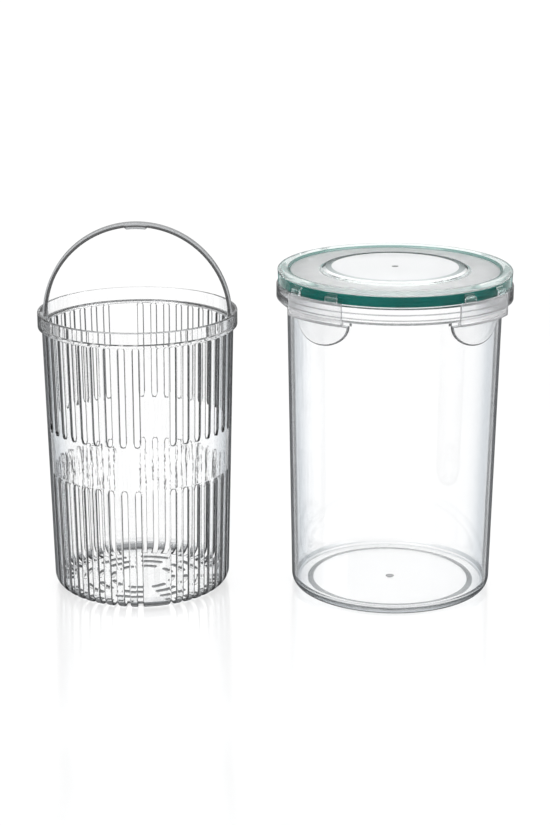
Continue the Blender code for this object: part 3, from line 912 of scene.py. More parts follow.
@dataclass
class Clips:
    """The four clips and their living hinges, and the sizes that they share with the lid."""

    site: Site
    hinge_radius: float = 0.0609
    hinge_level: float = 0.1662
    half_angle: float = 16.9
    web_from: float = 8.0
    web_to: float = 14.5
    azimuths: dict[str, float] = field(default_factory=lambda: {
        "clip_front_left": 225.0, "clip_front_right": 315.0,
        "clip_back_right": 45.0, "clip_back_left": 135.0})
    flange_underside: float = 0.1535
    flange_chamfer_radius: float = 0.0589
    thickness: float = 0.0014
    web_thickness: float = 0.0010
    hook_reach: float = 0.0019
    hook_gap: float = 0.0005
    hook_tip: float = 0.0003
    tail: float = 0.0010
    gap: float = 0.0003
    web_length: float = 0.0025
    corner_rounding: float = 0.0008
    edge_rounding: float = 0.00022
    film_half: float = 0.0002
    film_inset: float = 0.0006

    @property
    def top(self) -> float:
        """Return the level of the plates' tops, where the webs start."""
        return self.hinge_level - self.gap - self.web_length

    @property
    def web_width(self) -> float:
        """Return the length of a web along the turn."""
        return self.arc_length(self.web_to - self.web_from)

    def arc_length(self, angle: float) -> float:
        """Return the length of an angle, in degrees, along the hinge radius."""
        return radians(angle) * self.hinge_radius

    def web_azimuths(self, azimuth: float) -> list[float]:
        """Return the azimuths of the two webs of the clip at an azimuth."""
        return [azimuth + side * (self.web_from + self.web_to) / 2 for side in (-1, 1)]

    def plate(self) -> Mesh:
        """Make one clip, still flat: the plate, its hook and the two webs on top.

        Returns:
            The shape, with depth along X from the hinge radius and its length along Y.
        """
        top, tip = self.top, -self.hook_reach
        chamfer = self.flange_underside + self.hinge_radius + tip - self.flange_chamfer_radius
        tip_top = chamfer - self.hook_gap
        tip_bottom = tip_top - self.hook_tip
        foot = tip_bottom - self.tail
        section = [(0.0, top), (0.0, tip_top + self.hook_reach), (tip, tip_top),
                   (tip, tip_bottom), (0.0, foot), (self.thickness, foot),
                   (self.thickness, top), (self.web_thickness, top)]
        shape = run_out(section, 2 * self.arc_length(self.half_angle))
        near, far = self.arc_length(self.web_from), self.arc_length(self.web_to)
        cut_across(shape, (-near, -far, near, far))
        roots = [face for face in shape.faces
                 if face.normal.z > LEVEL
                 and near < abs((centre := face.calc_center_median()).y) < far
                 and centre.x < self.web_thickness and centre.z > top - MERGE]
        extrude(shape, roots, (0, 0, self.web_length), keep=False)
        end = self.arc_length(self.half_angle) - MERGE
        round_edges(shape, lambda edge: (
            abs(edge.verts[0].co.x - edge.verts[1].co.x) > 2 * MERGE
            and all(abs(vert.co.y) > end and not foot + MERGE <= vert.co.z <= top - MERGE
                    for vert in edge.verts)), self.corner_rounding, 4)
        round_edges(shape, is_sharp, self.edge_rounding, 3)
        return shape

    def film(self) -> Mesh:
        """Make one living hinge, still flat: a thin film that leans out from lug to web.

        Returns:
            The shape, with depth along X from the hinge radius and its length along Y.
        """
        path = [Vector((x * MM, z * MM)) for x, z in (
            (-1.1, 1.0), (-0.6, 0.6), (0.0, 0.0), (0.3, -0.6), (0.4, -1.3))]
        outer, inner = [], []
        for before, point, after in zip(path[:1] + path, path, path[1:] + path[-1:]):
            along = (after - before).normalized()
            side = Vector((-along.y, along.x)) * self.film_half
            outer.append(point + side)
            inner.append(point - side)
        section = [(point.x, point.y + self.hinge_level) for point in outer + inner[::-1]]
        return run_out(section, self.web_width - 2 * self.film_inset)

    def films(self, name: str, azimuth: float) -> Item:
        """Make the two films of one clip, as one piece.

        Args:
            name: The clip's node.
            azimuth: The clip's azimuth.

        Returns:
            The films.
        """
        both = bmesh.new()
        for web in self.web_azimuths(azimuth):
            shape = self.film()
            wrap(shape, self.hinge_radius, web, BEND / 2)
            mesh = bpy.data.meshes.new("film_side")
            shape.to_mesh(mesh)
            shape.free()
            both.from_mesh(mesh)
            bpy.data.meshes.remove(mesh)
        return to_object(name.replace("clip", "living_hinge"), both, self.site)

    def make(self) -> None:
        """Make the four clips and their living hinges, and dress them."""
        for name, azimuth in self.azimuths.items():
            shape = self.plate()
            wrap(shape, self.hinge_radius, azimuth)
            clip = to_object(name.replace("clip", "swing_clip"), shape, self.site)
            dress(clip, self.site, MILKY, (THIN, lambda spot: spot.level > self.top + 0.05 * MM))
            seat(clip, name, Slot.CLIP, name)

            films = self.films(name, azimuth)
            dress(films, self.site, THIN)
            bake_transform(films)
            LOG.info("%s: bends between the lid and %s", films.name, name)


@dataclass
class Container:
    """The clear cup: foot ring, tapered wall, banded flange, sealing lip and thumb pads."""

    site: Site
    clips: Clips
    lip_top: float
    flange_radius: float
    base_radius: float = 0.0522
    rim_radius: float = 0.0551
    wall: float = 0.0018
    foot_height: float = 0.0011
    foot_ring: Point = (0.0437, 0.0490)
    foot_flank: float = 0.0029
    foot_corner_height: float = 0.0050
    gate_radius: float = 0.0020
    floor_top: float = 0.0024
    floor_corner: float = 0.0038
    flange_height: float = 0.0083
    flange_chamfer: float = 0.0017
    groove_levels: Point = (0.15627, 0.15903)
    groove_depth: float = 0.0004
    lip_height: float = 0.0037
    lip_radii: Point = (0.0542, 0.0562)
    ledge_reach: float = 0.0028
    ledge_height: float = 0.0027
    ledge_half_angle: float = 19.5
    pad_depth: float = 0.0015
    pad_height: float = 0.0123
    pad_half_width: float = 0.0176
    pad_rounding: float = 0.0009
    ledge_rounding: float = 0.00035
    root: float = 0.0009

    @property
    def flange_underside(self) -> float:
        """Return the level of the flange's underside."""
        return self.lip_top - self.lip_height - self.flange_height

    @property
    def slope(self) -> float:
        """Return how much the wall's radius grows for each metre of height."""
        return (self.rim_radius - self.base_radius) / (
            self.flange_underside - self.foot_corner_height)

    def outline(self) -> list[Point]:
        """Draw the cup's outline, from the underside's middle to the floor's middle.

        Returns:
            Its points, as radius and height.
        """
        under, (ring_in, ring_out) = self.foot_height, self.foot_ring
        dent = under - 0.6 * MM
        low, high = self.flange_underside, self.lip_top - self.lip_height
        outer, (lip_in, lip_out) = self.flange_radius, self.lip_radii
        line = Outline().corners(
            (0.0, dent), (self.gate_radius - 0.4 * MM, dent, 0.25),
            (self.gate_radius, under, 0.2), (ring_in - self.foot_flank, under, 0.6),
            (ring_in, 0.0, 0.5))
        line.bow((ring_out, self.foot_corner_height),
                 (self.base_radius - ring_out, self.foot_corner_height), 270, 360)
        line.corners((self.rim_radius, low, 0.5), (outer - self.flange_chamfer, low, 0.5),
                     (outer, low + self.flange_chamfer, 0.5))
        for level in self.groove_levels:
            line.ripple(outer, level, self.groove_depth, 0.2)
        line.corners((outer, high, 0.35), (lip_out, high, 0.3), (lip_out, self.lip_top, 0.6),
                     (lip_in, self.lip_top, 0.6), (lip_in, high, 1.2),
                     (self.rim_radius - self.wall, low, 2.0))
        line.bow((self.base_radius - self.wall - self.floor_corner,
                  self.floor_top + self.floor_corner), (self.floor_corner,) * 2, 0, -90)
        return line.corners((0.0, self.floor_top)).points()

    def pad(self, azimuth: float) -> Item:
        """Make one half-moon thumb pad, rooted in the wall.

        Args:
            azimuth: Where it goes, in degrees.

        Returns:
            The pad, a closed solid.
        """
        top = self.flange_underside - self.ledge_height + 0.4 * MM
        steps = 40
        turn = [radians(180 + 180 * i / steps) for i in range(steps + 1)]
        shape = bmesh.new()
        face = shape.faces.new([shape.verts.new((
            -self.root, self.pad_half_width * cos(t), top + self.pad_height * sin(t)))
            for t in turn])
        extrude(shape, [face], (self.root + self.pad_depth, 0, 0))
        front = self.pad_depth - MERGE
        round_edges(shape, lambda edge: all(vert.co.x > front for vert in edge.verts),
                    self.pad_rounding, 5)
        wrap(shape, self.rim_radius, azimuth, slope=self.slope, level=self.flange_underside)
        return to_object("pad_%d" % azimuth, shape, self.site)

    def ledge(self, azimuth: float) -> Item:
        """Make the ledge between one pad and the flange.

        Args:
            azimuth: Where it goes, in degrees.

        Returns:
            The ledge, a closed solid.
        """
        low = self.flange_underside - self.ledge_height
        high = self.flange_underside + self.flange_chamfer / 2
        section = [(-self.root, low), (self.ledge_reach, low + self.ledge_height / 3),
                   (self.ledge_reach, high), (-self.root, high)]
        shape = run_out(section, 2 * radians(self.ledge_half_angle) * self.rim_radius)
        middle = self.ledge_reach / 2
        round_edges(shape, lambda edge: is_sharp(edge) and all(
            vert.co.x > middle or abs(vert.co.z - low) < MERGE for vert in edge.verts),
            self.ledge_rounding, 3)
        wrap(shape, self.rim_radius, azimuth)
        return to_object("ledge_%d" % azimuth, shape, self.site)

    def proud(self, spot: Spot) -> float:
        """Return how far out of the tapered wall a face is."""
        return spot.reach - self.rim_radius + self.slope * (self.flange_underside - spot.level)

    def make(self) -> None:
        """Make the cup and dress it."""
        cup = to_object("clear_cup", turned(self.outline()), self.site)
        azimuths = self.clips.azimuths.values()
        work_in(cup, [self.pad(azimuth) for azimuth in azimuths], Join.ADD)
        work_in(cup, [self.ledge(azimuth) for azimuth in azimuths], Join.ADD)
        ring_in, ring_out = self.foot_ring
        flange = self.flange_underside
        pad_top = flange - self.ledge_height
        pad_foot = pad_top - self.pad_height
        dress(
            cup, self.site, CLEAR,
            # The level floor
            (PANE, lambda spot: abs(spot.up) > LEVEL and spot.level < self.floor_top + MM),
            # The curve between the foot ring and the wall, painted darker as shade where it meets
            # the floor
            (FOOT_SHADE, lambda spot: (
                spot.reach > ring_out and spot.level < self.foot_corner_height - 0.4 * MM)),
            # The foot ring's inner flank, painted grey as shade
            (FOOT_RING_SHADE, lambda spot: (
                ring_in - self.foot_flank < spot.reach < ring_in + 0.4 * MM
                and spot.level < self.foot_height - 0.05 * MM)),
            # The fronts of the pads
            (ETCHED_AND_SHADE, lambda spot: (
                pad_foot < spot.level < pad_top + 0.2 * MM
                and self.proud(spot) > self.pad_depth / 2 and spot.out > 0)),
            # The grooves of the flange, painted dark as shade
            (SHADE_LINE, lambda spot: (
                flange < spot.level < self.lip_top - self.lip_height - 0.5 * MM
                and 0.06 * MM < self.flange_radius - spot.reach < MM)),
            # The gate's mark, and the rounded edges of the pads, painted near black as shade
            (CUT, lambda spot: (
                spot.reach < self.gate_radius + 0.2 * MM
                and spot.level < self.foot_height + 0.1 * MM
                or pad_foot - MM < spot.level < pad_top and self.proud(spot) > 0.1 * MM
                and spot.out * spot.reach > -MM and spot.out < 0.992)))
        seat(cup, Body.CONTAINER.value, Slot.CLEAR, "container")


@dataclass
class Lid:
    """The lid: frosted ring, clear raised disc, bead, skirt, plug wall and hinge lugs."""

    site: Site
    clips: Clips
    top: float
    radius: float
    height: float = 0.0084
    bead_width: float = 0.0060
    bead_height: float = 0.0017
    plate: float = 0.0016
    disc_radius: float = 0.0365
    disc_edge: float = 0.0040
    gate_radius: float = 0.0017
    step_width: float = 0.0018
    step_height: float = 0.0015
    skirt: float = 0.0016
    skirt_draft: float = 0.0004
    plug_radii: Point = (0.0511, 0.0527)
    plug_bottom: float = 0.1635
    groove_ceiling: float = 0.1679
    lug_depths: Point = (-0.0019, -0.0005)
    lug_levels: Point = (0.1663, 0.1680)
    lug_rounding: float = 0.0002

    def outline(self) -> list[Point]:
        """Draw the lid's outline, from its underside's middle to its top's middle.

        Returns:
            Its points, as radius and height.
        """
        upper = self.top - self.bead_height
        under, disc_top = upper - self.plate, upper + self.step_height
        bottom, ceiling = self.top - self.height, self.groove_ceiling
        disc, foot = self.disc_radius, self.disc_radius + self.step_width
        plug_in, plug_out = self.plug_radii
        bead = self.radius - self.bead_width / 2
        line = Outline().corners(
            (0.0, disc_top - self.plate), (disc - self.plate, disc_top - self.plate, 1.5),
            (foot - self.plate, under, 1.5), (plug_in, under, 0.5),
            (plug_in, self.plug_bottom, 0.6), (plug_out, self.plug_bottom, 0.4),
            (plug_out, ceiling, 0.3), (self.radius - self.skirt, ceiling, 0.3),
            (self.radius - self.skirt, bottom, 0.35),
            (self.radius - self.skirt_draft, bottom, 0.45))
        line.bow((bead, upper), (self.bead_width / 2, self.bead_height), 0, 168, 18)
        return line.corners(
            (bead - self.bead_width / 2 - 0.1 * MM, upper, 0.3), (foot, upper, 1.6),
            (disc, disc_top, 2.6), (disc - self.disc_edge, disc_top),
            (self.gate_radius, disc_top, 0.2),
            (self.gate_radius - 0.6 * MM, disc_top - 0.4 * MM, 0.2),
            (0.0, disc_top - 0.35 * MM)).points()

    def lug(self, azimuth: float) -> Item:
        """Make one hinge lug, rooted in the skirt.

        Args:
            azimuth: Where it goes, in degrees.

        Returns:
            The lug, a closed solid.
        """
        (near, far), (low, high) = self.lug_depths, self.lug_levels
        section = [(near, low), (far, low), (far, (low + high) / 2), (near, high)]
        shape = run_out(section, self.clips.web_width)
        middle = (near + far) / 2
        round_edges(shape, lambda edge: is_sharp(edge) and any(
            vert.co.x > middle for vert in edge.verts), self.lug_rounding, 3)
        wrap(shape, self.clips.hinge_radius, azimuth, 1.2 * MM)
        return to_object("lug_%d" % azimuth, shape, self.site)

    def make(self) -> None:
        """Make the lid and dress it."""
        lid = to_object("lid_moulding", turned(self.outline()), self.site)
        work_in(lid, [self.lug(web) for azimuth in self.clips.azimuths.values()
                      for web in self.clips.web_azimuths(azimuth)], Join.ADD)
        upper, disc = self.top - self.bead_height, self.disc_radius
        bead_in, gate = self.radius - self.bead_width, self.gate_radius + 0.1 * MM
        dress(
            lid, self.site, LID_CLEAR,
            # The level disc, above and below
            (DISC, lambda spot: abs(spot.up) > LEVEL and gate < spot.reach < disc),
            # The disc's edge, on top, painted as shade that turns dark where it is seen edge-on
            (DISC_EDGE_SHADE, lambda spot: (
                disc - self.disc_edge < spot.reach < disc + 0.6 * MM
                and spot.level > upper + 0.6 * MM and spot.up > 0.5)),
            # The skirt below the bead, and the groove's ceiling
            (SKIRT, lambda spot: (
                spot.reach > self.plug_radii[1] + 0.2 * MM
                and spot.level < self.groove_ceiling + 0.3 * MM)),
            # The gate's mark, painted near black as shade
            (CUT, lambda spot: spot.reach < gate and spot.level > self.top - 2 * MM),
            # The ring round the disc
            (FROSTED, lambda spot: (
                disc + self.step_width + 0.9 * MM < spot.reach < bead_in - 0.5 * MM
                and spot.up > 0.7)),
            # The bead
            (BEAD, lambda spot: spot.reach > bead_in and spot.level > upper + 0.05 * MM),
            # The bead's steep inner flank, painted dark teal as shade
            (BEAD_FLANK_SHADE, lambda spot: (
                bead_in - 0.4 * MM < spot.reach < bead_in + 0.9 * MM
                and spot.level > upper - 0.1 * MM and spot.out < -0.5)))
        seat(lid, Body.LID.value, Slot.LID, "lid")


@dataclass
class Seal:
    """The silicone ring: an inverted U over the container's lip, with wiping ribs."""

    site: Site
    inner: float = 0.0530
    lip: Point = (0.0539, 0.0565)
    outer: float = 0.0581
    bottom: float = 0.1624
    leg_bottom: float = 0.1634
    body_bottom: float = 0.1658
    top: float = 0.1676
    rib: float = 0.0001
    rib_shares: Point = (0.3, 0.62)

    def make(self) -> None:
        """Make the ring and dress it."""
        lip_in, lip_out = self.lip
        line = Outline(steps=3).corners((lip_out, self.bottom, 0.3), (self.outer, self.bottom, 0.4))
        for share in self.rib_shares:
            level = self.bottom + share * (self.top - self.bottom)
            line.ripple(self.outer, level, -self.rib, 0.15)
        line.corners((self.outer, self.top, 0.5), (self.inner, self.top, 0.4),
                     (self.inner, self.leg_bottom, 0.3), (lip_in, self.leg_bottom, 0.3),
                     (lip_in, self.body_bottom, 0.3), (lip_out, self.body_bottom, 0.3))
        ring = to_object("silicone_seal", turned(line.points(closed=True), closed=True), self.site)
        dress(ring, self.site, TEAL)
        seat(ring, Body.LID.value, Slot.SEAL, "seal_ring")


@dataclass(frozen=True)
class Column:
    """One upright line of the basket's mesh, placed by the slot that it belongs to.

    across runs from -1 to 1 over the slot, and on to 2 at the middle of the bar beside it.
    """

    azimuth: float
    across: float = 0.0
    plain: bool = False

    def turn(self, radius: float, half: float, pitch: float) -> float:
        """Return the column's azimuth at a radius.

        Args:
            radius: The radius, in metres.
            half: Half of a slot's width, in metres.
            pitch: The angle from slot to slot, in radians.

        Returns:
            The azimuth, in radians.
        """
        if self.plain:
            return self.azimuth
        size = abs(self.across)
        if size <= 1.0:
            return self.azimuth + asin(self.across * half / radius)
        edge = asin(half / radius)
        away = edge + (size - 1.0) * (pitch / 2 - edge)
        return self.azimuth + (away if self.across > 0 else -away)

    def in_slot(self) -> bool:
        """Return whether the column is on or between a slot's sides."""
        return not self.plain and abs(self.across) <= 1.0


@dataclass
class Basket:
    """The strainer: a tapered cup with two tiers of slots, a slotted base and a stepped rim."""

    site: Site
    height: float
    rim_radius: float
    foot_radius: float = 0.0461
    top_radius: float = 0.0492
    corner: float = 0.0070
    wall: float = 0.0015
    rounding: float = 0.0006
    rounding_from: float = 50.0
    brim: float = 0.0006
    rim_bottom: float = 0.1398
    slot_width: float = 0.0027
    slot_corner: float = 0.0005
    slot_pitch: float = 8.5
    slots: int = 9
    panels: int = 4
    pattern_turn: float = 13.3
    plain_lines: int = 5
    lower_top: float = 0.0645
    upper_bottom: float = 0.0880
    upper_top: float = 0.1394
    lower_start: float = 0.0365
    base_lines: tuple[float, ...] = (0.0, 0.006, 0.013, 0.0265, 0.0334)
    arc_radii: Place = (0.0300, 0.0230, 0.0160)
    arc_width: float = 0.0025
    arc_angle: float = 30.0
    arcs: int = 8
    pivot_level: float = 0.1446
    pin_hole: float = 0.0020
    slot_shares: tuple[float, ...] = (-1.5, -1.0, -0.866, -0.5, 0.0, 0.5, 0.866, 1.0, 1.5, 2.0)

    @property
    def flat(self) -> float:
        """Return the radius of the level base."""
        return self.foot_radius - self.corner

    @property
    def panel(self) -> float:
        """Return the angle from one panel of slots to the next."""
        return 360.0 / self.panels

    @property
    def first(self) -> float:
        """Return the azimuth at which the first panel starts."""
        return self.pattern_turn - self.panel / 2 - self.slots * self.slot_pitch / 2

    def columns(self) -> list[Column]:
        """Place the mesh's upright lines, all the way round.

        Returns:
            The columns, in order.
        """
        slotted = self.slots * self.slot_pitch
        plain = (self.panel - slotted) / (self.plain_lines + 1)
        lines = []
        for quarter in range(self.panels):
            start = self.first + quarter * self.panel
            lines.append(Column(radians(start), plain=True))
            for i in range(self.slots):
                middle = radians(start + (i + 0.5) * self.slot_pitch)
                lines += [Column(middle, share) for share in self.slot_shares]
            lines += [Column(radians(start + slotted + (i + 1) * plain), plain=True)
                      for i in range(self.plain_lines)]
        return lines

    def rows(self) -> dict[float, float]:
        """Return the three levels where slots end.

        Returns:
            For each level of the even mesh, how far a slot's middle is moved up from it, which
            is also the radius of that end's corners.
        """
        half = self.slot_width / 2
        return {self.lower_top - half: half, self.upper_bottom + half: -half,
                self.upper_top - self.slot_corner: self.slot_corner}

    def wall_radius(self, level: float) -> float:
        """Return the outside radius of the tapered wall at a level."""
        share = (level - self.corner) / (self.rim_bottom - self.corner)
        return self.foot_radius + share * (self.top_radius - self.foot_radius)

    def outline(self) -> list[Point]:
        """Draw the outside's outline, from the underside's middle to the top edge.

        Returns:
            Its points, as radius and height.
        """
        points = [(radius, 0.0) for radius in (
            *self.base_lines, self.lower_start, self.flat - 2 * HOLD)]
        for angle in range(270, 361, 10):
            turn = radians(angle)
            points.append((self.flat + self.corner * cos(turn), self.corner * (1 + sin(turn))))
        levels = [self.corner + MM, *self.rows(), self.lower_top + 0.7 * MM,
                  self.upper_bottom - 0.7 * MM]
        points += [(self.wall_radius(level), level) for level in sorted(levels)]
        return points + [(self.top_radius, self.rim_bottom), (self.rim_radius, self.rim_bottom),
                         (self.rim_radius, self.height)]

    def is_open(self, place: Vector, columns: list[Column]) -> bool:
        """Return whether a slot goes where a face of the even mesh is.

        Args:
            place: The face's middle.
            columns: The upright lines, evenly spaced as yet.

        Returns:
            True for a face between a slot's sides and ends.
        """
        count = len(columns)
        k = int((atan2(place.y, place.x) % (2 * pi)) / (2 * pi / count))
        one, two = columns[k % count], columns[(k + 1) % count]
        if not (one.in_slot() and two.in_slot() and one.azimuth == two.azimuth):
            return False
        low_end, high_start, high_end = self.rows()
        lower = place.xy.length > self.lower_start and place.z < low_end
        return lower or high_start < place.z < high_end

    def sheet(self) -> Mesh:
        """Make the outside as a sheet with its slots open.

        Returns:
            The sheet, with its faces outwards.
        """
        columns = self.columns()
        count = len(columns)
        shape = turned(self.outline(), steps=count)
        if sum(face.normal.dot(face.calc_center_median()) for face in shape.faces) < 0:
            bmesh.ops.reverse_faces(shape, faces=shape.faces)
        gone = [face for face in shape.faces if self.is_open(face.calc_center_median(), columns)]
        bmesh.ops.delete(shape, geom=gone, context="FACES")

        half, pitch = self.slot_width / 2, radians(self.slot_pitch)
        for vert in shape.verts:
            radius, level = vert.co.xy.length, vert.co.z
            if radius < MERGE:
                continue
            share = (atan2(vert.co.y, vert.co.x) % (2 * pi)) / (2 * pi / count)
            column = columns[round(share) % count]
            for end, lift in self.rows().items():
                if column.in_slot() and abs(level - end) < MERGE and radius < self.rim_radius:
                    corner = abs(lift)
                    share = max(0.0, (abs(column.across) * half - half + corner) / corner)
                    level += lift * sqrt(max(0.0, 1.0 - share * share))
                    radius = self.wall_radius(level)
            turn = column.turn(max(radius, self.lower_start), half, pitch)
            vert.co = Vector((radius * cos(turn), radius * sin(turn), level))
        return shape

    def base_cutter(self, radius: float, azimuth: float) -> Item:
        """Make one round-ended curved cutter for the base.

        Args:
            radius: The radius of its middle line.
            azimuth: Where its middle goes, in degrees.

        Returns:
            The cutter, a closed solid.
        """
        half, reach, roundness = self.arc_width / 2, 4 * MM, 0.85
        section = [(-half, -reach), (half, -reach), (half, reach), (-half, reach)]
        shape = run_out(section, radians(self.arc_angle) * radius)
        round_edges(shape, lambda edge: abs(edge.verts[0].co.z - edge.verts[1].co.z) > MM,
                    roundness * half, 5)
        wrap(shape, radius, azimuth, 1.2 * MM)
        return to_object("base_cutter", shape, self.site)

    def pin_cutter(self) -> Item:
        """Make the cutter for the two holes that the bail's pins turn in.

        Returns:
            The cutter, a closed solid.
        """
        shape = bmesh.new()
        across = Matrix.Translation((0, 0, self.pivot_level)) @ Matrix.Rotation(pi / 2, 4, "Y")
        bmesh.ops.create_cone(shape, cap_ends=True, segments=32, depth=2 * self.rim_radius + 0.01,
                              radius1=self.pin_hole, radius2=self.pin_hole, matrix=across)
        return to_object("pin_cutter", shape, self.site)

    def wall_way(self, spot: Spot) -> Vector:
        """Return the direction straight through the wall at a face.

        Args:
            spot: The face.

        Returns:
            The direction, outwards or up.
        """
        here = spot.here.to_3d()
        if spot.reach < self.flat:
            return Vector((0.0, 0.0, 1.0))
        if spot.level < self.corner:
            middle = here.normalized() * self.flat + Vector((0.0, 0.0, self.corner))
            return (here + Vector((0.0, 0.0, spot.level)) - middle).normalized()
        return here.normalized()

    def on_base(self, spot: Spot) -> bool:
        """Return whether a face is part of the level base, or of a slot in it."""
        return self.wall_way(spot).z > 0.99

    def on_cut(self, spot: Spot, low: float, high: float) -> bool:
        """Return whether a face is at a slot, and square to the wall by a share in a range."""
        share = abs(spot.normal.dot(self.wall_way(spot)))
        return spot.level < self.upper_top - 0.2 * MM and low < share < high

    def on_foot(self, spot: Spot, low: float, high: float) -> bool:
        """Return whether a face is in a band, in millimetres, of the curve round the base."""
        return spot.reach > self.flat + 2 * MM and low * MM <= spot.level < high * MM

    def on_ledge(self, spot: Spot) -> bool:
        """Return whether a face is on the shelf in the rim, or under it over a bar or panel.

        Args:
            spot: The face.

        Returns:
            True on the shelf.
        """
        if not (self.upper_top < spot.level < self.rim_bottom + self.wall + 0.1 * MM
                and abs(spot.up) > 0.25 and spot.reach < self.rim_radius - 0.3 * MM):
            return False
        if spot.up > 0 and spot.level > self.rim_bottom + self.wall / 2:
            return True
        turn = (degrees(atan2(spot.here.y, spot.here.x)) - self.first) % self.panel
        away = abs((turn / self.slot_pitch) % 1.0 - 0.5)
        half = degrees(asin(self.slot_width / 2 / self.top_radius)) / self.slot_pitch
        return turn > self.slots * self.slot_pitch or away > half

    def moulding(self) -> Item:
        """Make the basket with all its openings.

        Returns:
            The basket, not yet dressed.
        """
        basket = to_object("slotted_basket", self.sheet(), self.site)
        thick = basket.modifiers.new("wall", "SOLIDIFY")
        thick.thickness = self.wall
        thick.offset = -1.0
        thick.use_even_offset = True
        edge = basket.modifiers.new("edges", "BEVEL")
        edge.width = self.rounding
        edge.segments = 3
        edge.limit_method = "ANGLE"
        edge.angle_limit = radians(self.rounding_from)
        edge.use_clamp_overlap = False
        settle(basket)
        pitch = 360.0 / self.arcs
        cutters = [self.base_cutter(radius, self.pattern_turn + (i + 0.5) * pitch)
                   for radius in self.arc_radii for i in range(self.arcs)]
        work_in(basket, [*cutters, self.pin_cutter()], Join.CUT)
        shading = basket.modifiers.new("flat faces first", "WEIGHTED_NORMAL")
        shading.keep_sharp = True
        settle(basket)
        return basket

    def make(self) -> None:
        """Make the basket and dress it."""
        basket = self.moulding()
        brim = self.height - self.brim
        dress(
            basket, self.site, STRAINER,
            # The belt between the tiers
            (WAVY, lambda spot: self.lower_top < spot.level < self.upper_bottom),
            # The level base
            (PANE, lambda spot: self.on_base(spot) and abs(spot.up) > LEVEL),
            # The rim's upright sides
            (RIM, lambda spot: spot.level > self.rim_bottom + 0.2 * MM and abs(spot.up) < 0.5),
            # The rim's top edge, and the upper foot, painted grey as shade
            (ETCHED_AND_SHADE, lambda spot: (
                spot.level > brim and spot.up > 0.3 or self.on_foot(spot, 4.2, 7.2))),
            # The outer rounding of the rim's top edge, the middle foot and the slots' sides,
            # painted dark grey as shade
            (SHADE_LINE, lambda spot: (
                spot.level > brim and 0.2 < spot.out < 0.97 or self.on_foot(spot, 1.9, 4.2)
                or self.on_cut(spot, -1.0, 0.2))),
            # The lower foot, the roundings beside the slots, the shelf and the base's slots,
            # painted near black as shade
            (CUT, lambda spot: (
                self.on_foot(spot, -1.0, 1.9) or self.on_cut(spot, 0.2, 0.95)
                or self.on_ledge(spot) or self.on_base(spot) and abs(spot.up) < 0.9)))
        seat(basket, Body.BASKET.value, Slot.CLEAR, "strainer_basket")


@dataclass
class Bail:
    """The bail handle: a rounded band with a grip pad, two bosses and their pins."""

    site: Site
    pivot_level: float = 0.1446
    radius: float = 0.0485
    thickness: float = 0.0022
    width: float = 0.0052
    rounding: float = 0.0007
    boss_radius: float = 0.0030
    boss: Point = (0.0461, 0.0487)
    pin_radius: float = 0.0017
    pin_end: float = 0.0510
    grip_angle: float = 12.0
    grip_fade: float = 0.8
    grip_depth: float = 0.0010
    painted_shade_depth: float = 0.0014
    steps: int = 120

    def hang(self, name: str, shape: Mesh, turn: float, axis: str) -> Item:
        """Turn a shape up from the level and lift it to the pivots.

        Args:
            name: The object's name.
            shape: The shape, made about the origin.
            turn: The angle that it turns by, in radians.
            axis: The axis that it turns about.

        Returns:
            The object.
        """
        bmesh.ops.rotate(shape, verts=shape.verts, cent=(0, 0, 0),
                         matrix=Matrix.Rotation(turn, 3, axis))
        bmesh.ops.translate(shape, verts=shape.verts, vec=(0, 0, self.pivot_level))
        return to_object(name, shape, self.site)

    def band(self) -> Item:
        """Make the half-round band, with its grip pad swelling under the top.

        Returns:
            The band, a closed solid.
        """
        inner, outer, half = self.radius - self.thickness, self.radius, self.width / 2
        split, fillet = inner + self.painted_shade_depth, self.rounding / MM
        line = Outline().corners((inner, -half, fillet), (split, -half), (outer, -half, fillet),
                                 (outer, half, fillet), (split, half), (inner, half, fillet))
        shape = bmesh.new()
        verts = [shape.verts.new((radius, 0.0, across))
                 for radius, across in line.points(closed=True)]
        face = shape.faces.new(verts)
        bmesh.ops.spin(shape, geom=[face, *face.edges, *verts], cent=(0, 0, 0), axis=(0, 0, 1),
                       angle=pi, steps=self.steps)
        bmesh.ops.recalc_face_normals(shape, faces=shape.faces)
        half_grip, fade = radians(self.grip_angle / 2), radians(self.grip_fade)
        for vert in shape.verts:
            radius = vert.co.xy.length
            away = abs(atan2(vert.co.y, vert.co.x) - pi / 2)
            depth = (self.radius - radius) / self.thickness
            share = min(1.0, max(0.0, (half_grip + fade - away) / fade))
            share = share * share * (3 - 2 * share)
            if share > 0.0 and depth > 0.3:
                vert.co.xy *= (radius - self.grip_depth * share * depth) / radius
        return self.hang("bail_moulding", shape, pi / 2, "X")

    def end(self, side: int) -> Item:
        """Make the boss and pin of one side.

        Args:
            side: 1 for the right and -1 for the left.

        Returns:
            The boss and its pin, a closed solid.
        """
        start, shoulder = self.boss
        line = Outline(steps=3).corners(
            (0.0, start), (self.boss_radius, start, 0.5), (self.boss_radius, shoulder, 0.4),
            (self.pin_radius, shoulder, 0.2), (self.pin_radius, self.pin_end, 0.4),
            (0.0, self.pin_end))
        return self.hang("bail_end", turned(line.points(), steps=48), side * pi / 2, "Y")

    def make(self) -> None:
        """Make the bail and dress it."""
        bail = self.band()
        work_in(bail, [self.end(1), self.end(-1)], Join.ADD)
        inner = self.radius - self.thickness
        # The inner part of the band, off the grip pad, painted dark as shade
        dress(bail, self.site, GREY, (BAIL_SHADE, lambda spot: (
            spot.level > self.pivot_level
            and inner + 0.05 * MM < Vector((spot.here.x, spot.level - self.pivot_level)).length
            < inner + self.painted_shade_depth)))
        seat(bail, Body.BAIL.value, Slot.BAIL, "bail_handle")


# Studio


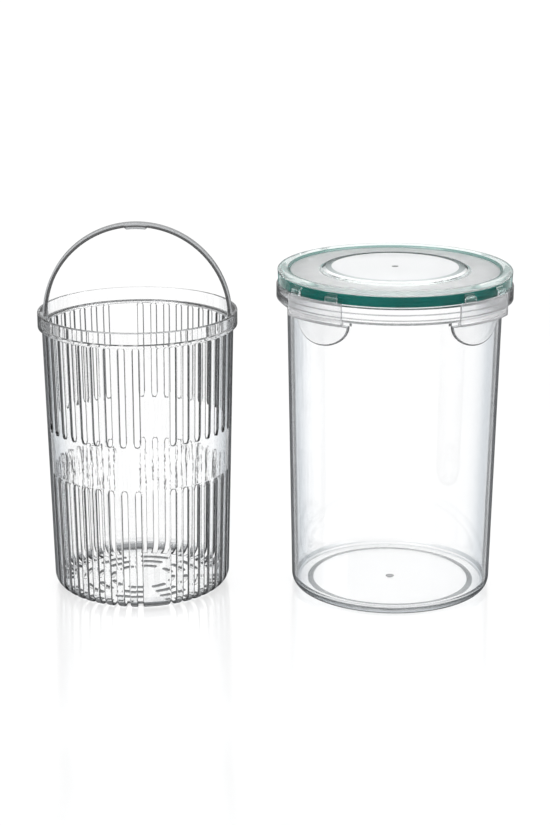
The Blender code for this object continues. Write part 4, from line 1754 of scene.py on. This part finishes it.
@dataclass
class Studio:
    """The pale floor, the lamps, the white surround and the camera."""

    camera_place: Place = (0.0, -1.008, 0.391)
    camera_pitch: float = 16.5
    lens: float = 88.0
    floor_size: float = 20.0
    aim: Place = (0.0, 0.0, 0.09)
    world_light: float = 0.55
    reflected: float = 0.6
    lamps: tuple[tuple[str, Place, float, float], ...] = (
        ("key_lamp", (-0.9, -0.9, 1.3), 1.0, 14.0),
        ("fill_lamp", (1.3, -0.4, 0.9), 1.0, 8.0),
        ("top_lamp", (0.1, 0.6, 1.6), 1.2, 10.0))

    def floor(self) -> None:
        """Make the floor."""
        shape = bmesh.new()
        bmesh.ops.create_grid(shape, x_segments=1, y_segments=1, size=self.floor_size / 2)
        item = to_object("floor", shape)
        dress(item, Site(), FLOOR)

    def lamp(self, name: str, place: Place, size: float, power: float) -> None:
        """Hang one soft area lamp that looks at the middle of the set.

        Args:
            name: Its name.
            place: Where it hangs.
            size: The length of its side.
            power: Its power, in watts.
        """
        data = bpy.data.lights.new(name, "AREA")
        data.shape = "SQUARE"
        data.size = size
        data.energy = power
        item = bpy.data.objects.new(name, data)
        item.location = place
        way = Vector(self.aim) - Vector(place)
        item.rotation_euler = way.to_track_quat("-Z", "Y").to_euler()
        bpy.context.scene.collection.objects.link(item)

    def surround(self) -> None:
        """Make the world: white to the camera and through the plastic, softer as light."""
        world = bpy.data.worlds.new("studio")
        bpy.context.scene.world = world
        wiring = Wiring.of(world)
        way = wiring.add("TexCoord").outputs["Generated"]
        height = wiring.add("SeparateXYZ", {"Vector": way}).outputs["Z"]
        above = wiring.ramp(height, ((0.0, 1.0), (0.48, 1.0), (0.7, 0.35), (1.0, 0.12)))
        shades = [wiring.shader("Background", colour, Strength=strength) for colour, strength in (
            (1.0, self.world_light), (above, self.reflected), (above, BEHIND), (1.0, 1.0))]
        wiring.add("OutputWorld", {"Surface": wiring.by_ray(*shades)})

    def camera(self) -> None:
        """Set the camera as the photograph's, level side to side and looking a little down."""
        data = bpy.data.cameras.new("camera")
        data.lens = self.lens
        data.clip_start = 0.05
        item = bpy.data.objects.new("camera", data)
        item.location = self.camera_place
        item.rotation_euler = (radians(90.0 - self.camera_pitch), 0.0, 0.0)
        bpy.context.scene.collection.objects.link(item)
        bpy.context.scene.camera = item

    def make(self) -> None:
        """Make the whole studio."""
        self.floor()
        self.surround()
        for lamp in self.lamps:
            self.lamp(*lamp)
        self.camera()
        scene = bpy.context.scene
        scene.view_settings.view_transform = "Standard"
        scene.cycles.max_bounces = 28
        scene.cycles.transmission_bounces = 26
        scene.cycles.glossy_bounces = 10
        scene.cycles.transparent_max_bounces = 24


def main() -> None:
    """Make every piece in order, then the studio."""
    logging.basicConfig(level=logging.INFO, format="%(name)s: %(message)s")
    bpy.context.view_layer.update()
    cup_site, basket_site = Site.of_node("container"), Site.of_node("strainer_basket")
    LOG.info("axes at x = %.4f and %.4f", cup_site.x, basket_site.x)
    clips = Clips(cup_site)
    Container(cup_site, clips, *top_and_radius("container")).make()
    Lid(cup_site, clips, *top_and_radius("lid")).make()
    Seal(cup_site).make()
    clips.make()
    Basket(basket_site, *top_and_radius("strainer_basket")).make()
    Bail(basket_site).make()
    Studio().make()


if __name__ == "__main__":
    main()
